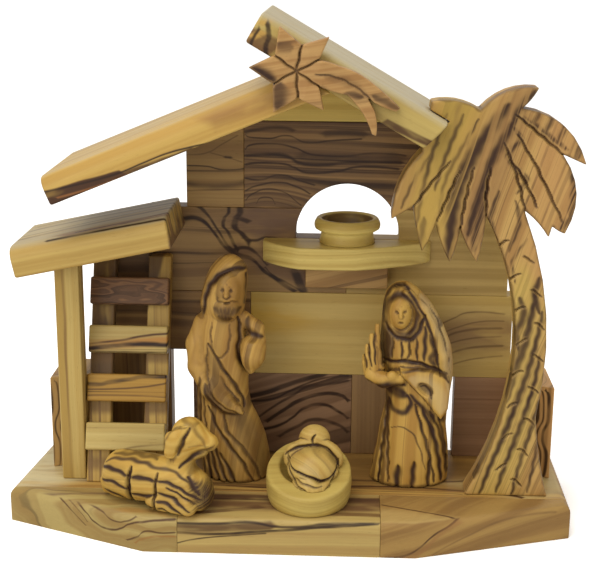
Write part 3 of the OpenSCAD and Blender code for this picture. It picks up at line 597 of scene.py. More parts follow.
def clean_copy(node):
    """The CAD node's mesh with its flat faces whole again, for edges that can be eased."""
    mesh = NODES[node].data.copy()
    mesh.name = node + "_wood"
    bm = bmesh.new()
    bm.from_mesh(mesh)
    bmesh.ops.remove_doubles(bm, verts=bm.verts, dist=0.002 * MM)
    bmesh.ops.dissolve_limit(bm, angle_limit=math.radians(0.6), verts=bm.verts, edges=bm.edges)
    bm.to_mesh(mesh)
    bm.free()
    return mesh


# Edges sharper than this are eased, and stay crisp
CRISP = math.radians(32)


def board(node, *shades, edge=0.45, segments=2, **growth):
    """A sawn and sanded board: the CAD shape with its sharp edges eased, in a wood of its own."""
    piece = keep(node + "_wood", clean_copy(node), wood(node, *shades, **growth), node)
    ease = piece.modifiers.new("ease", "BEVEL")
    ease.width = edge * MM
    ease.segments = segments
    ease.limit_method = "ANGLE"
    ease.angle_limit = CRISP
    ease.harden_normals = True
    piece.data.shade_smooth()
    bm = bmesh.new()
    bm.from_mesh(piece.data)
    for side in bm.edges:
        side.smooth = len(side.link_faces) == 2 and side.calc_face_angle(0) < CRISP
    bm.to_mesh(piece.data)
    bm.free()


def carved(node, mesh, *shades, **growth):
    """A piece carved in the round, in a wood of its own."""
    keep(node + "_wood", mesh, wood(node, *shades, carved=True, **growth), node)


# Boards of the wall, the base and the shelf. Places are the model's own: x across, y back and z up.
board("wall_board_4_right", "142/110/68", "98/72/48", "ink", 4.1, pith=(20, 60), ring=3.4, line=2.4,
      lines=(0.5, 0.58), patch=(0.62, 0.74), centre=(0, 38, 190), swirl=((-11, -5, -50, 17, -6),), marks="""
    xz ink 0.7 0.8 0.7 -22,171 -16,172.4 -8,173 -1,172
    xz ink 0.7 1.4 1 14,170.4 22,171 31,170.6
    xz ink 0.9 0.35 0.3 -22,169.6 -12,168 -4,169.4 6,166.4 16,167.4 30,168.4
    xz ink 0.9 0.4 0.4 -22,163 -12,165.6 0,164 10,160.8 22,160.4 36,162 50,161
    xz ink 0.95 0.8 0.7 -22,160 -8,160.6 2,157.4 11,156.2 24,157.6 36,158 48,158
    xz ink 0.6 2.4 1.8 4,160 24,159 46,159.6
    xz ink 0.9 0.5 0.4 -22,156 -10,157 0,155 8,152.6 20,153.4 32,155.6 47,155
    xz ink 0.9 0.4 0.4 -22,149.6 -16,149 -7,151.4 2,149 9,147
    xz ink 0.9 0.4 0.4 -22,144 -14,147 -7,148 0,146.4 7,143
    xz ink 0.85 0.3 0.35 -22,139.6 -18,143 -12,144.8 -5,143.6 0,140 3,137.6
    xz ink 0.8 0.3 0.35 -17,138 -13,141 -9,138""")
board("wall_board_4_left", "158/126/74", "136/104/60", "ink", 5.3, pith=(30, -60), warp=4, ring=6, line=4,
      lines=(0.6, 0.66), centre=(-36, 38, 155), marks="""
    xz ink 0.95 0.3 0.3 -49,155 -40,154.8 -32,153.4 -23,154
    xz ink 0.65 1.2 1.2 -49,146.4 -38,145.4 -30,146 -23,148
    xz bark 0.7 0.3 0.3 -49,143.4 -36,144 -23,144.4
    xz bark 0.6 0.3 0.3 -48,160 -40,161 -33,165 -26,169
    xz bark 0.6 0.25 0.3 -38,161 -31,159.2 -24,157
    xz ink 0.9 0.5 0.5 -31.4,159.1 -29,159""")
board("wall_board_3_left", "154/122/74", "124/94/58", "ink", 6.2, pith=(20, -50), warp=9, ring=6,
      lines=(0.62, 0.7), centre=(-20, 38, 115), marks="""
    xz 104/78/58 0.9 9 4 -16,130 -4,128 8,126
    xz 108/80/56 0.85 4.2 2.6 -26,116 -14,110 6,103
    xz ink 1 1.1 0.6 -50,131 -45,131 -41,129 -37,124 -33,118.6 -29,115 -25,113.4 -20,112 -14,106 -8,102 0,97
    xz ink 0.9 1 0.6 -45,137 -41,134 -37.4,129 -34.4,124 -31.4,119 -28,115.4
    zx ink 0.95 0.8 0.5 116,-26 118.6,-27.6 121,-28.8 125,-31 128,-32.6 131,-32 134,-30 137,-30.6
    xz ink 0.9 0.8 0.5 -27,116.4 -22,117 -18,115.2 -15,112 -12.6,109
    zx ink 0.95 1.5 0.8 120.6,-21 124,-24.4 127.4,-27.4 131,-26.6 134,-24.8 137,-25.6
    xz ink 0.9 0.7 0.5 -23,121.6 -18,120.6 -13,122 -8,121.4
    xz ink 0.95 1.2 0.6 -25,131 -21.6,129.8
    xz ink 0.8 0.5 0.4 -13,107.6 -9,103.6 -3,100.6 4,96.6
    zx ink 0.9 2.2 1 97,4.6 101,2.8 106,0.4""")
board("wall_board_3_right", "184/156/92", "164/136/76", "umber", 7.7, pith=(60, -80), warp=3,
      lines=(0.66, 0.8), line_power=0.4, centre=(60, 38, 115))
board("wall_board_3_end", "umber", "deep", "ink", 8.4, warp=6, ring=5, centre=(-80, 38, 105))
board("wall_board_2_right", "196/168/98", "184/154/84", "umber", 9.5, pith=(70, -90), warp=3, ring=6,
      lines=(0.68, 0.8), line_power=0.4, centre=(40, 38, 76), marks="""
    xz 190/150/56 0.8 9 7 -22,84 -10,82
    xz 138/108/68 0.9 9 8 72,76 88,78 100,78
    xz bark 0.75 0.35 0.5 68,81 75,85 83,88 98,87.4
    xz bark 0.6 0.3 0.4 69,77 78,81 88,83.6 98,84
    xz bark 0.65 0.5 0.5 70,74 80,79 97,80.4
    xz bark 0.65 0.35 0.4 70,70 80,74.6 97,76.6
    xz bark 0.65 0.5 0.5 72,66 82,70.4 98,72
    xz bark 0.6 0.35 0.4 74,61.6 84,65 98,67""")
board("wall_board_2_left", "brown", "umber", "ink", 10.1, pith=(12, -20), warp=8, ring=5,
      centre=(-60, 38, 80))
board("wall_board_1_left", "142/110/80", "120/90/64", "ink", 11.9, grain=(0, -18, 0), pith=(4, -22),
      ring=5, line=5, lines=(0.6, 0.68), patch=(0.78, 0.9), centre=(0, 38, 40), marks="""
    xz ink 0.95 1.3 0.6 -20,44.6 -12,46.6 -4,50 4,53 14,56
    xz ink 0.95 0.6 0.5 -20,41.6 -10,43 -2,47 6,51 14,54 26,55.6
    xz ink 0.85 0.7 0.5 -16,34 -8,40 0,45 8,50 16,51 26,53
    xz ink 0.95 1 0.5 -12,32 -4,38 4,43 12,46 20,46.4 26,43
    xz ink 0.95 0.8 0.5 -14,27.6 -6,30 0,34 6,39 13,41 21,38 26,34
    xz ink 0.8 0.9 0.6 -6,24 2,29 12,33 20,31 26,27""")
board("wall_board_1_middle", "150/118/76", "132/102/66", "ink", 12.4, grain=(0, 90, 0), pith=(50, 70),
      warp=2, ring=5, lines=(0.7, 0.85), line_power=0.5, centre=(40, 38, 36))
board("wall_board_1_right", "162/126/92", "146/112/80", "bark", 13.2, pith=(30, 60), warp=3, ring=5,
      lines=(0.66, 0.8), line_power=0.5, patch=(0.9, 1), centre=(88, 38, 36))
board("wall_foot_board", "brown", "umber", "ink", 14.8, grain=(0, 90, 0), warp=6, ring=5,
      centre=(-75, 38, 40))
board("gable_board", "216/190/102", "200/170/84", "umber", 15.5, pith=(40, -70), warp=3, ring=5,
      lines=(0.68, 0.8), centre=(0, 38, 180))
board("base_back_board", "184/146/76", "146/108/56", "ink", 16.1, pith=(0, -30), warp=6, lines=(0.52, 0.6),
      centre=(0, 20, 16), deck=DECK, marks="""
    xy 138/104/54 0.95 18 6 -42,10 30,12 80,8
    xy 206/190/142 0.9 24 6 -126,6 -112,10 -101,14
    xy 198/176/118 0.8 16 8 106,0 126,10
    xy bark 1 0.9 0.5 -38,-7 0,-9 40,-5 80,-8 104,-13
    xy bark 0.85 0.3 0.4 -38,-12 -8,-12.4 36,-10.4 78,-12
    xy bark 0.8 0.8 0.7 -34,1 0,3 36,1 80,4""")
board("base_front_board_left", "176/154/94", "152/124/70", "ink", 17.7, pith=(-10, 4), warp=12, ring=6,
      line=5, lines=(0.62, 0.7), line_power=0.45, patch=(0.88, 0.97), centre=(-90, -30, 10), bend=28,
      along=0.3, deck=DECK, marks="""
    xy 120/96/66 0.8 1 1 -114,-20 -104,-21 -90,-20 -46,-19
    xy bark 0.95 0.5 0.4 -113,-22 -108,-29 -103,-35 -97,-42
    xy bark 0.85 0.4 0.4 -108,-25 -101,-31 -94,-37 -89,-43
    xy 140/116/84 0.7 1.4 1 -112,-26 -107,-34 -101,-41
    xy 176/126/62 0.35 2 1.6 -84,-42 -74,-37 -64,-36 -50,-41
    xz bark 0.9 0.35 0.3 -101,16 -96,13 -92,9.6 -88,6
    xz bark 0.8 0.25 0.3 -97,16 -91,12.6 -87,8
    xz bark 0.95 0.45 0.35 -92,15.6 -87,12 -83,8.4 -77,7 -71,8.6 -67,11.6 -61,13.6 -47,15
    xz bark 0.85 0.35 0.3 -88,16 -80,14.4 -73,11.4 -69,12.4 -64,15
    xz bark 0.9 0.4 0.3 -68,4 -63,6.6 -59,9.6 -53,9 -47,9.4
    xz 150/104/52 0.8 0.5 0.4 -64,3.6 -59,6.6 -54,7.4 -47,7.4""")
board("base_front_board_middle", "184/158/94", "168/138/80", "bark", 18.3, pith=(-20, 34), warp=4,
      line=3.2, lines=(0.6, 0.68), line_power=0.5, patch=(0.8, 0.9), centre=(0, -30, 10), deck=DECK, marks="""
    xy 88/62/42 1 3 1.2 -46,-20.4 -18,-20 10,-21 41,-20
    xy ink 0.85 0.4 0.4 -46,-23 -20,-22 10,-23.4 41,-22.4
    xy 112/82/52 1 4.6 2 -46,-27 -10,-28 41,-26.4
    xy 96/68/44 1 1.8 0.8 -44,-38 -28,-34 -12,-30
    xy umber 0.95 2 1 6,-36 24,-34.6 41,-35.4
    xz bark 0.85 1.8 0.8 -46,11.4 -32,11.6 -16,12.6 -6,13.4
    xz ink 0.95 0.6 0.35 -46,9.4 -30,9 -14,10.4 0,11.6 18,13.6 40,15.6
    xz ink 0.9 0.5 0.4 -46,13.6 -30,13.6 -16,14.6 0,13 16,14.4 38,15.8
    xz ink 0.9 0.3 0.3 -46,4.6 -38,6.6 -22,8.6 -8,10""")
board("base_front_board_right", "164/130/72", "140/106/58", "bark", 19.6, grain=(0, -12, 24),
      pith=(-6, -16), warp=7, ring=6, line=7, lines=(0.64, 0.72), line_power=0.6, patch=(0.85, 0.95),
      centre=(80, -30, 10), deck=DECK, marks="""
    xy 186/156/96 0.8 7 4 42,-36 56,-38 72,-42
    xy bark 0.95 0.5 0.4 42,-24.6 52,-28 62,-31.4 72,-35 79,-37.4
    xy bark 0.8 0.5 0.4 70,-43 78,-37.6 88,-34 104,-29 120,-26
    xy 140/112/76 0.7 1.6 1.2 78,-41 92,-34.4 106,-30.6 122,-28
    xz bark 0.95 0.5 0.35 44,0 52,1.4 58,5 64,10 70,13 76,16.4
    xz 146/104/60 0.6 1.2 1 48,-1 56,1 61,5 67,10.4 74,14
    xz umber 0.6 0.4 0.5 64,1 80,8 96,13 118,13.6""")
board("shelf", "206/182/104", "182/154/80", "umber", 20.2, pith=(-6, -26), lines=(0.66, 0.8),
      line_power=0.4, centre=(24, 22, 118), edge=0.9)
board("shelf_bracket", "178/142/86", "148/112/64", "bark", 21.1, grain=(0, -15, 0), pith=(5, -20), warp=6,
      ring=5, line=5, centre=(24, 28, 106))
board("side_block_left", "186/150/92", "160/122/70", "ink", 22.6, grain=(0, 90, 0), pith=(4, -20), ring=5,
      line_power=0.5, patch=(0.92, 1), centre=(-100, 22, 40), marks="""
    zx ink 0.9 0.6 0.4 16,-111.6 26,-110.4 36,-112.2 46,-110.2 58,-111.6
    zx ink 0.9 0.35 0.4 16,-108.6 26,-107.4 36,-109.2 46,-107.2 58,-108.6
    zx ink 0.9 0.5 0.4 16,-106 26,-104.8 36,-106.6 46,-104.6 58,-106""")
board("side_block_right", "214/166/102", "188/142/84", "ink", 23.3, grain=(0, 90, 0), pith=(4, -20),
      ring=5, line_power=0.5, patch=(0.92, 1), centre=(110, 22, 40), marks="""
    zx ink 0.9 0.5 0.4 16,108.4 26,110 36,107.8 46,110.2 58,108.4
    zx ink 0.9 0.8 0.4 16,111 26,112.6 36,110.4 46,112.8 58,111
    zx ink 0.9 0.4 0.4 16,113.6 26,115.2 36,113 46,115.4 58,113.6
    zx ink 0.9 0.7 0.4 16,116 26,117.6 36,115.4 46,117.8 58,116""")

# The roof's slabs: a pale band along each top is painted sheen, with long grey streaks
slab = partial(board, edge=1.0, segments=3)
slab("roof_left", "204/170/92", "178/138/66", "bark", 24.4, grain=(0, -22.5, 0), pith=(80, -70), warp=4,
      ring=5, lines=(0.62, 0.74), line_power=0.5, centre=(-40, 0, 170), marks="""
    xz bleached 0.9 2.2 1.8 -106,160.4 -50,183.6 14,210
    xz 150/108/58 0.75 3.4 3 -30,184 -14,189 6,195
    xz 74/48/30 1 3.5 0.5 -102,149.6 -85,154.4 -70,158.8
    xz bark 0.9 1.5 0.6 -74,158 -58,164.4 -40,171.4
    xz ink 0.95 0.4 0.35 -102,152.6 -90,155.4 -80,158 -70,161.2 -60,165.6 -50,169.8 -40,172.6 -30,174.6 \
    -21,178.4
    xz 170/112/60 0.5 0.4 0.4 -96,150.4 -82,154.6 -66,160.6""")
# On the right slab, the dark line low on the front by the palm is painted shade of the slab's lower edge
slab("roof_right", "184/160/92", "164/138/76", "umber", 25.9, grain=(0, 30, 0), pith=(80, -70), warp=4,
      lines=(0.64, 0.74), line_power=0.5, centre=(20, 0, 200), marks="""
    xz 112/80/46 0.95 7.6 1.2 -24,210.4 -15.6,214
    xz gold 0.95 1.5 0.9 -14,217.6 -11.4,218.6
    xz gold 0.8 1.2 0.9 -11,222.6 -8,223.4
    zx ink 0.95 1 0.6 208,-8 213,-9.4 217,-8.2 222,-8.6
    zx ink 0.9 0.7 0.5 212,-16 216,-14.6 220,-12
    xz ink 0.9 0.8 0.6 -19,213.6 -14,211.4 -7,208.4
    xz bark 0.95 1.7 0.6 40,183.4 48,179.6 58,175
    xz bleached 0.75 2.2 1.8 -10,226.6 20,209.3 64,183.9""")
slab("leanto_roof", "194/164/92", "172/138/70", "umber", 26.5, grain=(0, -12, 0), pith=(80, -70), warp=4,
      ring=5, lines=(0.62, 0.74), line_power=0.5, centre=(-84, 8, 120), marks="""
    xz 178/164/130 0.9 2.2 1.4 -122,127.2 -80,136.1 -48,142.9
    xy 150/114/76 0.85 3.4 1.4 -96,-7.6 -76,-6.6 -48,-5
    xy ink 0.95 0.6 0.5 -104,-11.6 -80,-11.4 -48,-11.8
    xy ink 0.95 0.6 0.5 -92,-8 -70,-6 -48,-1
    xy bark 0.9 0.6 0.5 -72,-8.6 -48,-6
    xy 130/112/88 0.75 1.4 1 -120,0 -84,6 -48,8
    xy 112/90/66 0.8 0.5 0.5 -120,6 -90,11 -48,14
    xy 116/98/78 0.7 1.2 1 -118,16 -84,20 -48,17
    xy 104/84/62 0.8 0.8 0.6 -116,24 -84,27 -48,26
    zx 108/80/54 1 1.6 0.8 122,-48.6 132,-49.4 146,-49""")

# Post and ladder. The rails lean back, and their grain runs along them
rail_low, rail_high = box_mm("ladder_rail_left")
LEAN = math.degrees(math.atan2(rail_high[1] - rail_low[1], rail_high[2] - rail_low[2]))
# Painted shadow on the rails: the lean-to's shadow over their upper part, and a band of painted shadow under
# each rung
RAIL_PAINTED_SHADOW = """
    zx 92/68/46 0.9 20 1 92,-86 112,-80 130,-76
    xz 120/90/52 0.75 2.6 1.8 -100,24 -50,24.4
    xz 120/90/52 0.75 2.6 1.8 -100,48 -50,48.4
    xz 120/90/52 0.75 2.6 1.8 -100,70 -50,70.4"""
stick = partial(board, edge=0.9, segments=3)
stick("leanto_post", "196/170/102", "172/140/72", "umber", 27.3, grain=(0, 90, 0), pith=(14, -12), warp=4,
      ring=3, lines=(0.56, 0.66), line_power=0.7, centre=(-98, 0, 60))
stick("ladder_rail_left", "190/158/84", "168/134/66", "umber", 28.8, grain=(0, LEAN - 90, 90),
      pith=(40, -30), warp=2, centre=(-86, 10, 60), marks=RAIL_PAINTED_SHADOW)
stick("ladder_rail_right", "186/154/82", "162/128/64", "umber", 29.2, grain=(0, LEAN - 90, 90),
      pith=(40, -30), warp=2, centre=(-60, 10, 60), marks=RAIL_PAINTED_SHADOW)
stick("ladder_rung_1", "196/174/108", "182/156/90", "umber", 30.6, pith=(40, -60), warp=2, ring=5,
      lines=(0.7, 0.8), centre=(-74, 0, 36), marks="""
    xz umber 0.7 0.3 0.5 -93,29 -80,30.6 -70,33.4 -55,35""")
stick("ladder_rung_2", "178/138/60", "152/112/46", "ink", 31.4, pith=(40, 30), warp=2, lines=(0.66, 0.76),
      centre=(-74, 0, 56), marks="""
    xz ink 1 0.8 0.5 -95,60.2 -88,60 -82,61.2 -72,62.4 -64,63.6 -55,63.4
    xz bark 0.9 0.35 0.4 -95,57.4 -82,58 -72,58.6 -55,61
    xz bark 0.7 0.3 0.4 -95,54.4 -75,55.4 -55,54.8""")
stick("ladder_rung_3", "192/168/104", "176/148/84", "ink", 32.1, pith=(40, 30), warp=3, ring=5,
      lines=(0.7, 0.8), patch=(0.92, 1), centre=(-74, 0, 78), marks="""
    xz 178/126/62 0.9 1.8 1.2 -93,76.4 -76,77.6 -55,79
    xz bark 1 0.45 0.4 -93,76.8 -84,78 -76,79 -68,80.6 -55,82
    xz ink 1 0.9 0.6 -93,75 -80,76.6 -70,77.4 -55,77
    xz ink 0.9 0.5 0.4 -93,73.6 -74,74 -55,74""")
stick("ladder_rung_4", "136/98/62", "96/68/46", "ink", 33.7, pith=(4, 3), warp=10, ring=2.6,
      lines=(0.54, 0.62), centre=(-74, 0, 98), bend=7)


def turned(name, profile, centre, sides=96):
    """A profile of (radius, height) turned round an upright line."""
    bm = bmesh.new()
    verts = [bm.verts.new((r * MM, 0, z * MM)) for r, z in profile]
    edges = [bm.edges.new(pair) for pair in zip(verts[:-1], verts[1:])]
    bmesh.ops.spin(bm, geom=verts + edges, cent=(0, 0, 0), axis=(0, 0, 1), angle=math.tau, steps=sides,
                   use_duplicate=False)
    bmesh.ops.remove_doubles(bm, verts=bm.verts, dist=0.01 * MM)
    bmesh.ops.recalc_face_normals(bm, faces=bm.faces)
    for vert in bm.verts:
        vert.co += Vector(centre) * MM
    mesh = bpy.data.meshes.new(name)
    bm.to_mesh(mesh)
    bm.free()
    mesh.shade_smooth()
    return mesh


def cup_profile():
    """The candle cup from its foot, up over the rim and down the bore."""
    # Radii of the foot, the waist, the rim and the bore, the cup's height and the bore's depth
    foot, rim, bore, tall, deep = 12.75, 15.0, 11.5, 11.5, 8.5
    waist = foot * 0.93
    out = [(0, 0.05), (foot - 0.5, 0.05), (foot - 0.05, 0.4)]
    out += [(foot - 0.1 - (foot - waist) * t, 0.4 + 4.4 * t) for t in (0.3, 0.6, 0.9)]
    out += [(waist - 0.05, 5.0), (waist + 0.1, 5.35), (13.3, 5.9)]
    for i in range(1, 9):
        a = math.radians(-50 + 100 * i / 8)
        out.append((rim - 1.75 + 1.75 * math.cos(a), 8.3 + 2.6 * math.sin(a)))
    out += [(rim - 0.9, 10.9), (rim - 1.5, 11.4), (rim - 2.3, tall), (bore + 0.6, tall - 0.1),
            (bore + 0.05, tall - 0.7), (bore, tall - 1.2)]
    out += [(bore, tall - deep + 0.4), (bore - 0.4, tall - deep), (0, tall - deep)]
    return out


cup_low, cup_high = box_mm("candle_cup")
cup_middle = ((cup_low[0] + cup_high[0]) / 2, (cup_low[1] + cup_high[1]) / 2, cup_low[2])
# A dark disc over the bore is painted shade inside it
keep("candle_cup_wood", turned("candle_cup_wood", cup_profile(), cup_middle),
     wood("candle_cup", "204/180/100", "176/148/74", "umber", 34.9, pith=(-6, -26), lines=(0.66, 0.8),
      line_power=0.4, centre=(24, 22, 128), marks="""
    xy 96/68/42 1 11.6 0.2 24.5,26.45"""), "candle_cup")


# Star and palm: boards cut to an outline, then carved
def bowed(a, b, bow, steps=6):
    """Places from a to just before b, on a line that bows out to its left by a share of its length."""
    dx, dz = b[0] - a[0], b[1] - a[1]
    n = steps if bow else 1
    return [(a[0] + dx * t + dz * bow * 4 * t * (1 - t), a[1] + dz * t - dx * bow * 4 * t * (1 - t))
            for t in (i / n for i in range(n))]


def closed(corners, size):
    """A closed outline through corners that are given in shares of a size."""
    at = [(x * size[0], z * size[1]) for x, z, _ in corners]
    return [place for a, b, corner in zip(at, at[1:] + at[:1], corners) for place in bowed(a, b, corner[2])]


# The star has five rays, one after another by the same step in degrees, and a tail in the last gap.
# A corner of an outline is written across, up, and how much the side after it bows out.
RAY, RAY_FIRST, RAY_STEP, WAIST, STAR_T = 19.0, 46, 65, 0.56, 5
TAIL = [(0.49, -0.32, 0.02), (1.08, -0.48, -0.07), (1.62, -1.3, 0), (1.71, -1.34, 0.1), (1.54, -0.57, 0.03),
        (2.12, -0.82, 0), (2.2, -0.75, 0.02), (1.65, -0.26, 0.06), (0.9, 0.12, 0.03), (0.48, 0.24, 0)]


def ray(share, number):
    """The place at a share of a ray's length from the star's middle; half numbers lie between two rays."""
    a = math.radians(RAY_FIRST + number * RAY_STEP)
    return (RAY * share * math.cos(a), RAY * share * math.sin(a))


def star_clay():
    low, _ = box_mm("star")
    c = Clay((-RAY, 0, -RAY * 1.4), (RAY * 2.25, STAR_T, RAY), FINE_STEP)
    waists = [ray(WAIST, k + 0.5) for k in range(4)]
    outline = [ray(1, 0)]
    for k, waist in enumerate(waists):
        outline += [waist, ray(1, k + 1)]
    tail = [(RAY * x, RAY * z) for x, z, _ in TAIL]
    for a, b, (_, _, bow) in zip(tail[:-1], tail[1:], TAIL):
        outline += bowed(a, b, bow)
    outline.append(tail[-1])
    c.add(c.prism(outline, 0, STAR_T, 0.7), 0)
    # Each ray slopes off from its middle ridge towards the grooves
    for end in waists + [tail[0], tail[-1]]:
        c.stroke([(0, 0), end], 0.6, 1.2, 3, True, soot=0.75)
        c.stroke([(0, 0), end], 4.0, 0.7, 3, True, soot=0)
    c.stroke([(RAY * 0.6, -RAY * 0.1), (RAY * 1.1, -RAY * 0.22), (RAY * 1.5, -RAY * 0.5)], 1.6, 0.5, 3,
             soot=0.3)
    # Dark heartwood in the left rays and along the tail's underside
    c.draw("""
        soot 3 0.9 front=4 -19,0.8 -14,-0.8 -8,-5
        soot 4.4 0.85 front=4 -7,-5 -7,-14
        soot 2.6 0.55 front=4 -7.6,10.6 -5,9.6 -1.6,9.4
        soot 1.6 0.7 front=4 31,-9.4 36,-11.6 42,-14.4
        soot 1.4 0.85 front=4 9.4,-6.4 13.4,-8.4
        soot 1.4 0.8 front=4 19.6,-8.4 26.6,-9.6""")
    # The ridge down the tail
    c.stroke([(RAY * 0.4, -1), (RAY * 0.9, -2.6), (RAY * 1.4, -8), (RAY * 1.66, -14)], 0.6, 0.5, 4, soot=0.4)
    return c.mesh("star_wood", (3.0, low[1], 204.0))


carved("star", star_clay(), "186/146/90", "160/118/68", "bark", 35.3, grain=(0, -8, 0), pith=(20, -50),
       line=6, lines=(0.62, 0.7), line_power=0.6, centre=(3, -24, 204))

# The palm's width, height and thickness, its place, and how far back a knife reaches over its edges
PALM_W, PALM_H, PALM_T, PALM_X, PALM_REACH = 82.0, 182.0, 13.0, 96.7, 7
PALM = [(-0.22, 0, 0), (0.23, 0, -0.025), (0.145, 0.207, 0.075), (0.026, 0.712, -0.05), (0.156, 0.649, 0),
        (0.171, 0.676, 0.05), (0.237, 0.659, 0.157), (0.204, 0.844, 0), (0.326, 0.82, 0.163),
        (-0.013, 0.948, 0.05), (0.066, 0.995, 0.13), (-0.222, 0.943, 0.1), (-0.468, 0.961, 0),
        (-0.51, 0.847, 0.1), (-0.656, 0.687, 0), (-0.542, 0.718, 0.03), (-0.492, 0.61, 0.03),
        (-0.425, 0.678, 0.04), (-0.345, 0.586, 0.04), (-0.301, 0.669, 0.04), (-0.207, 0.587, 0.03),
        (-0.169, 0.7, -0.07), (0.013, 0.36, -0.06)]
FROND_CUTS = """
    -4,170 6,162 16.7,153.6
    -3,162 6,148 18,125
    -8,158 -2,144 2.1,129.6
    -30,150 -38,140 -44.4,130.7
    -26,146 -31,134 -34.9,123.4
    -20,148 -23,134 -24.7,121.8
    -13,148 -14.4,137 -13.9,127.4
    -4,150 2,141 7,131"""
# Dark heartwood in the palm: half its width, its strength and its path
PALM_DARK = """
    3.2 1 -7,174 -14,164 -20,154 -25,143 -28,130 -29,112
    2.2 1 -2,172 -8,160 -14,148 -18,134 -21,119
    2 0.95 4,180 0,175 -5,168
    1.4 0.9 11,178 4,174
    1.4 0.95 -6,166 -1,160 -6,154 -3,148 2,143 -2,137
    1 0.9 -32,170 -37,155 -41,138 -43,122
    1 0.9 -25,170 -31,155 -36,138
    1 0.9 -19,168 -24,158 -31,144 -34,128
    0.8 0.75 -35,158 -43,145 -50,130
    1.8 0.95 -14,140 -17,125 -19,112
    1.6 0.85 -40,126 -41,112
    2.2 0.95 -29,124 -29,108
    1.2 0.9 -9,138 -12,126 -9,116
    1.5 0.85 -5,169 2,167 12,160 18,156
    1.2 0.85 6,172 3,165
    1.4 0.85 12,171 9,163
    1.4 0.85 17,167 14,158
    1.8 0.85 24,160 22,152
    1.7 0.95 19,152 22,141 21,127
    1.6 0.9 22,128 17,122
    1 0.85 -2,134 0,124 -4,112
    1.5 1 10,101 8,93 11,85
    0.8 0.8 4,118 -2,108 0,98
    1.8 0.9 2,92 4,84 1,76 3,68
    2.1 1 9,94 7,82 5,70 1,57 -3,45 -8,30 -13,16 -18,2
    1.5 1 12,86 10,72 7,58 3,44 -2,28 -7,14 -11,1
    1.3 1 12,66 10,52 6,36 1,20 -4,2
    1.6 0.9 -9,24 -14,8
    1.1 1 13,46 10,32 6,16 3,1
    0.8 0.9 14,32 12,16 10,2
    1 0.9 3,70 2,58 -1,44"""
# The trunk's middle line: how high, and how far from the foot's middle
TRUNK = [(0, 0), (0.2, 0.055), (0.4, 0.097), (0.55, 0.05), (0.68, -0.06)]


def palm_clay():
    c = Clay((-PALM_W * 0.68, 0, 0), (PALM_W * 0.42, PALM_T, PALM_H), CLAY_STEP)
    c.add(c.prism(closed(PALM, (PALM_W, PALM_H)), 0, PALM_T, 1.2), 0)
    # The notch over the roof's corner: the slab from the ridge to its end, with room round it
    room, thick, fall, ridge_x, ridge_z = 0.45, 13.5, math.radians(-30), 17, 195
    corner = [(0, -room), (44.1, -room), (48.6, thick + room), (0, thick + room)]
    corner = [(ridge_x - PALM_X + p * math.cos(fall) - q * math.sin(fall),
               ridge_z - DECK + p * math.sin(fall) + q * math.cos(fall)) for p, q in corner]
    c.cut(c.prism(corner, -5, PALM_T + 5, 0), 0)
    for _, _, _, path in rows(FROND_CUTS):
        c.stroke(path, 0.8, 1.6, PALM_REACH, True, soot=0.6, spread=0.8)
    for _, (wide, power), _, path in rows(PALM_DARK):
        in_trunk = path[-1][1] < 90
        c.stain(path, wide, power * 0.9, PALM_REACH, "soot" if in_trunk else "dark")
    # A dark rim along the outline is painted shade on the palm's edges
    edge = closed(PALM, (PALM_W, PALM_H))
    c.stain(edge + edge[:1], 0.7, 0.5, PALM_REACH)
    # Short knife cuts up the trunk, now from one edge and now from the other
    heights, bends = zip(*TRUNK)
    for i in range(1, 17):
        h = heights[-1] * i / 17
        side = i % 2 * 2 - 1
        x, z = (np.interp(h, heights, bends) + side * 0.045) * PALM_W, h * PALM_H
        c.stroke([(x + side * 2.6, z - 2.4), (x, z), (x - side * 2.2, z + 0.6)], 0.7, 1.3, PALM_REACH, True,
                 soot=0.45, spread=0.9)
    return c.mesh("palm_wood", (PALM_X, -12, DECK))


carved("palm", palm_clay(), "190/152/88", "164/124/70", "ink", 36.7, grain=(0, -72, 0), pith=(30, 50), line=2,
      lines=(0.52, 0.6), line_power=0.75, centre=(96, -6, 110), marks="""
    zx 190/158/72 0.7 10 8 100,56 140,58 190,70
    zx 196/166/84 0.65 9 6 16,92 70,100 110,101
    zx 190/144/88 0.6 10 4 128,108 150,112 176,112
    zx 138/100/60 0.65 6 4 136,77 166,86 194,98""")


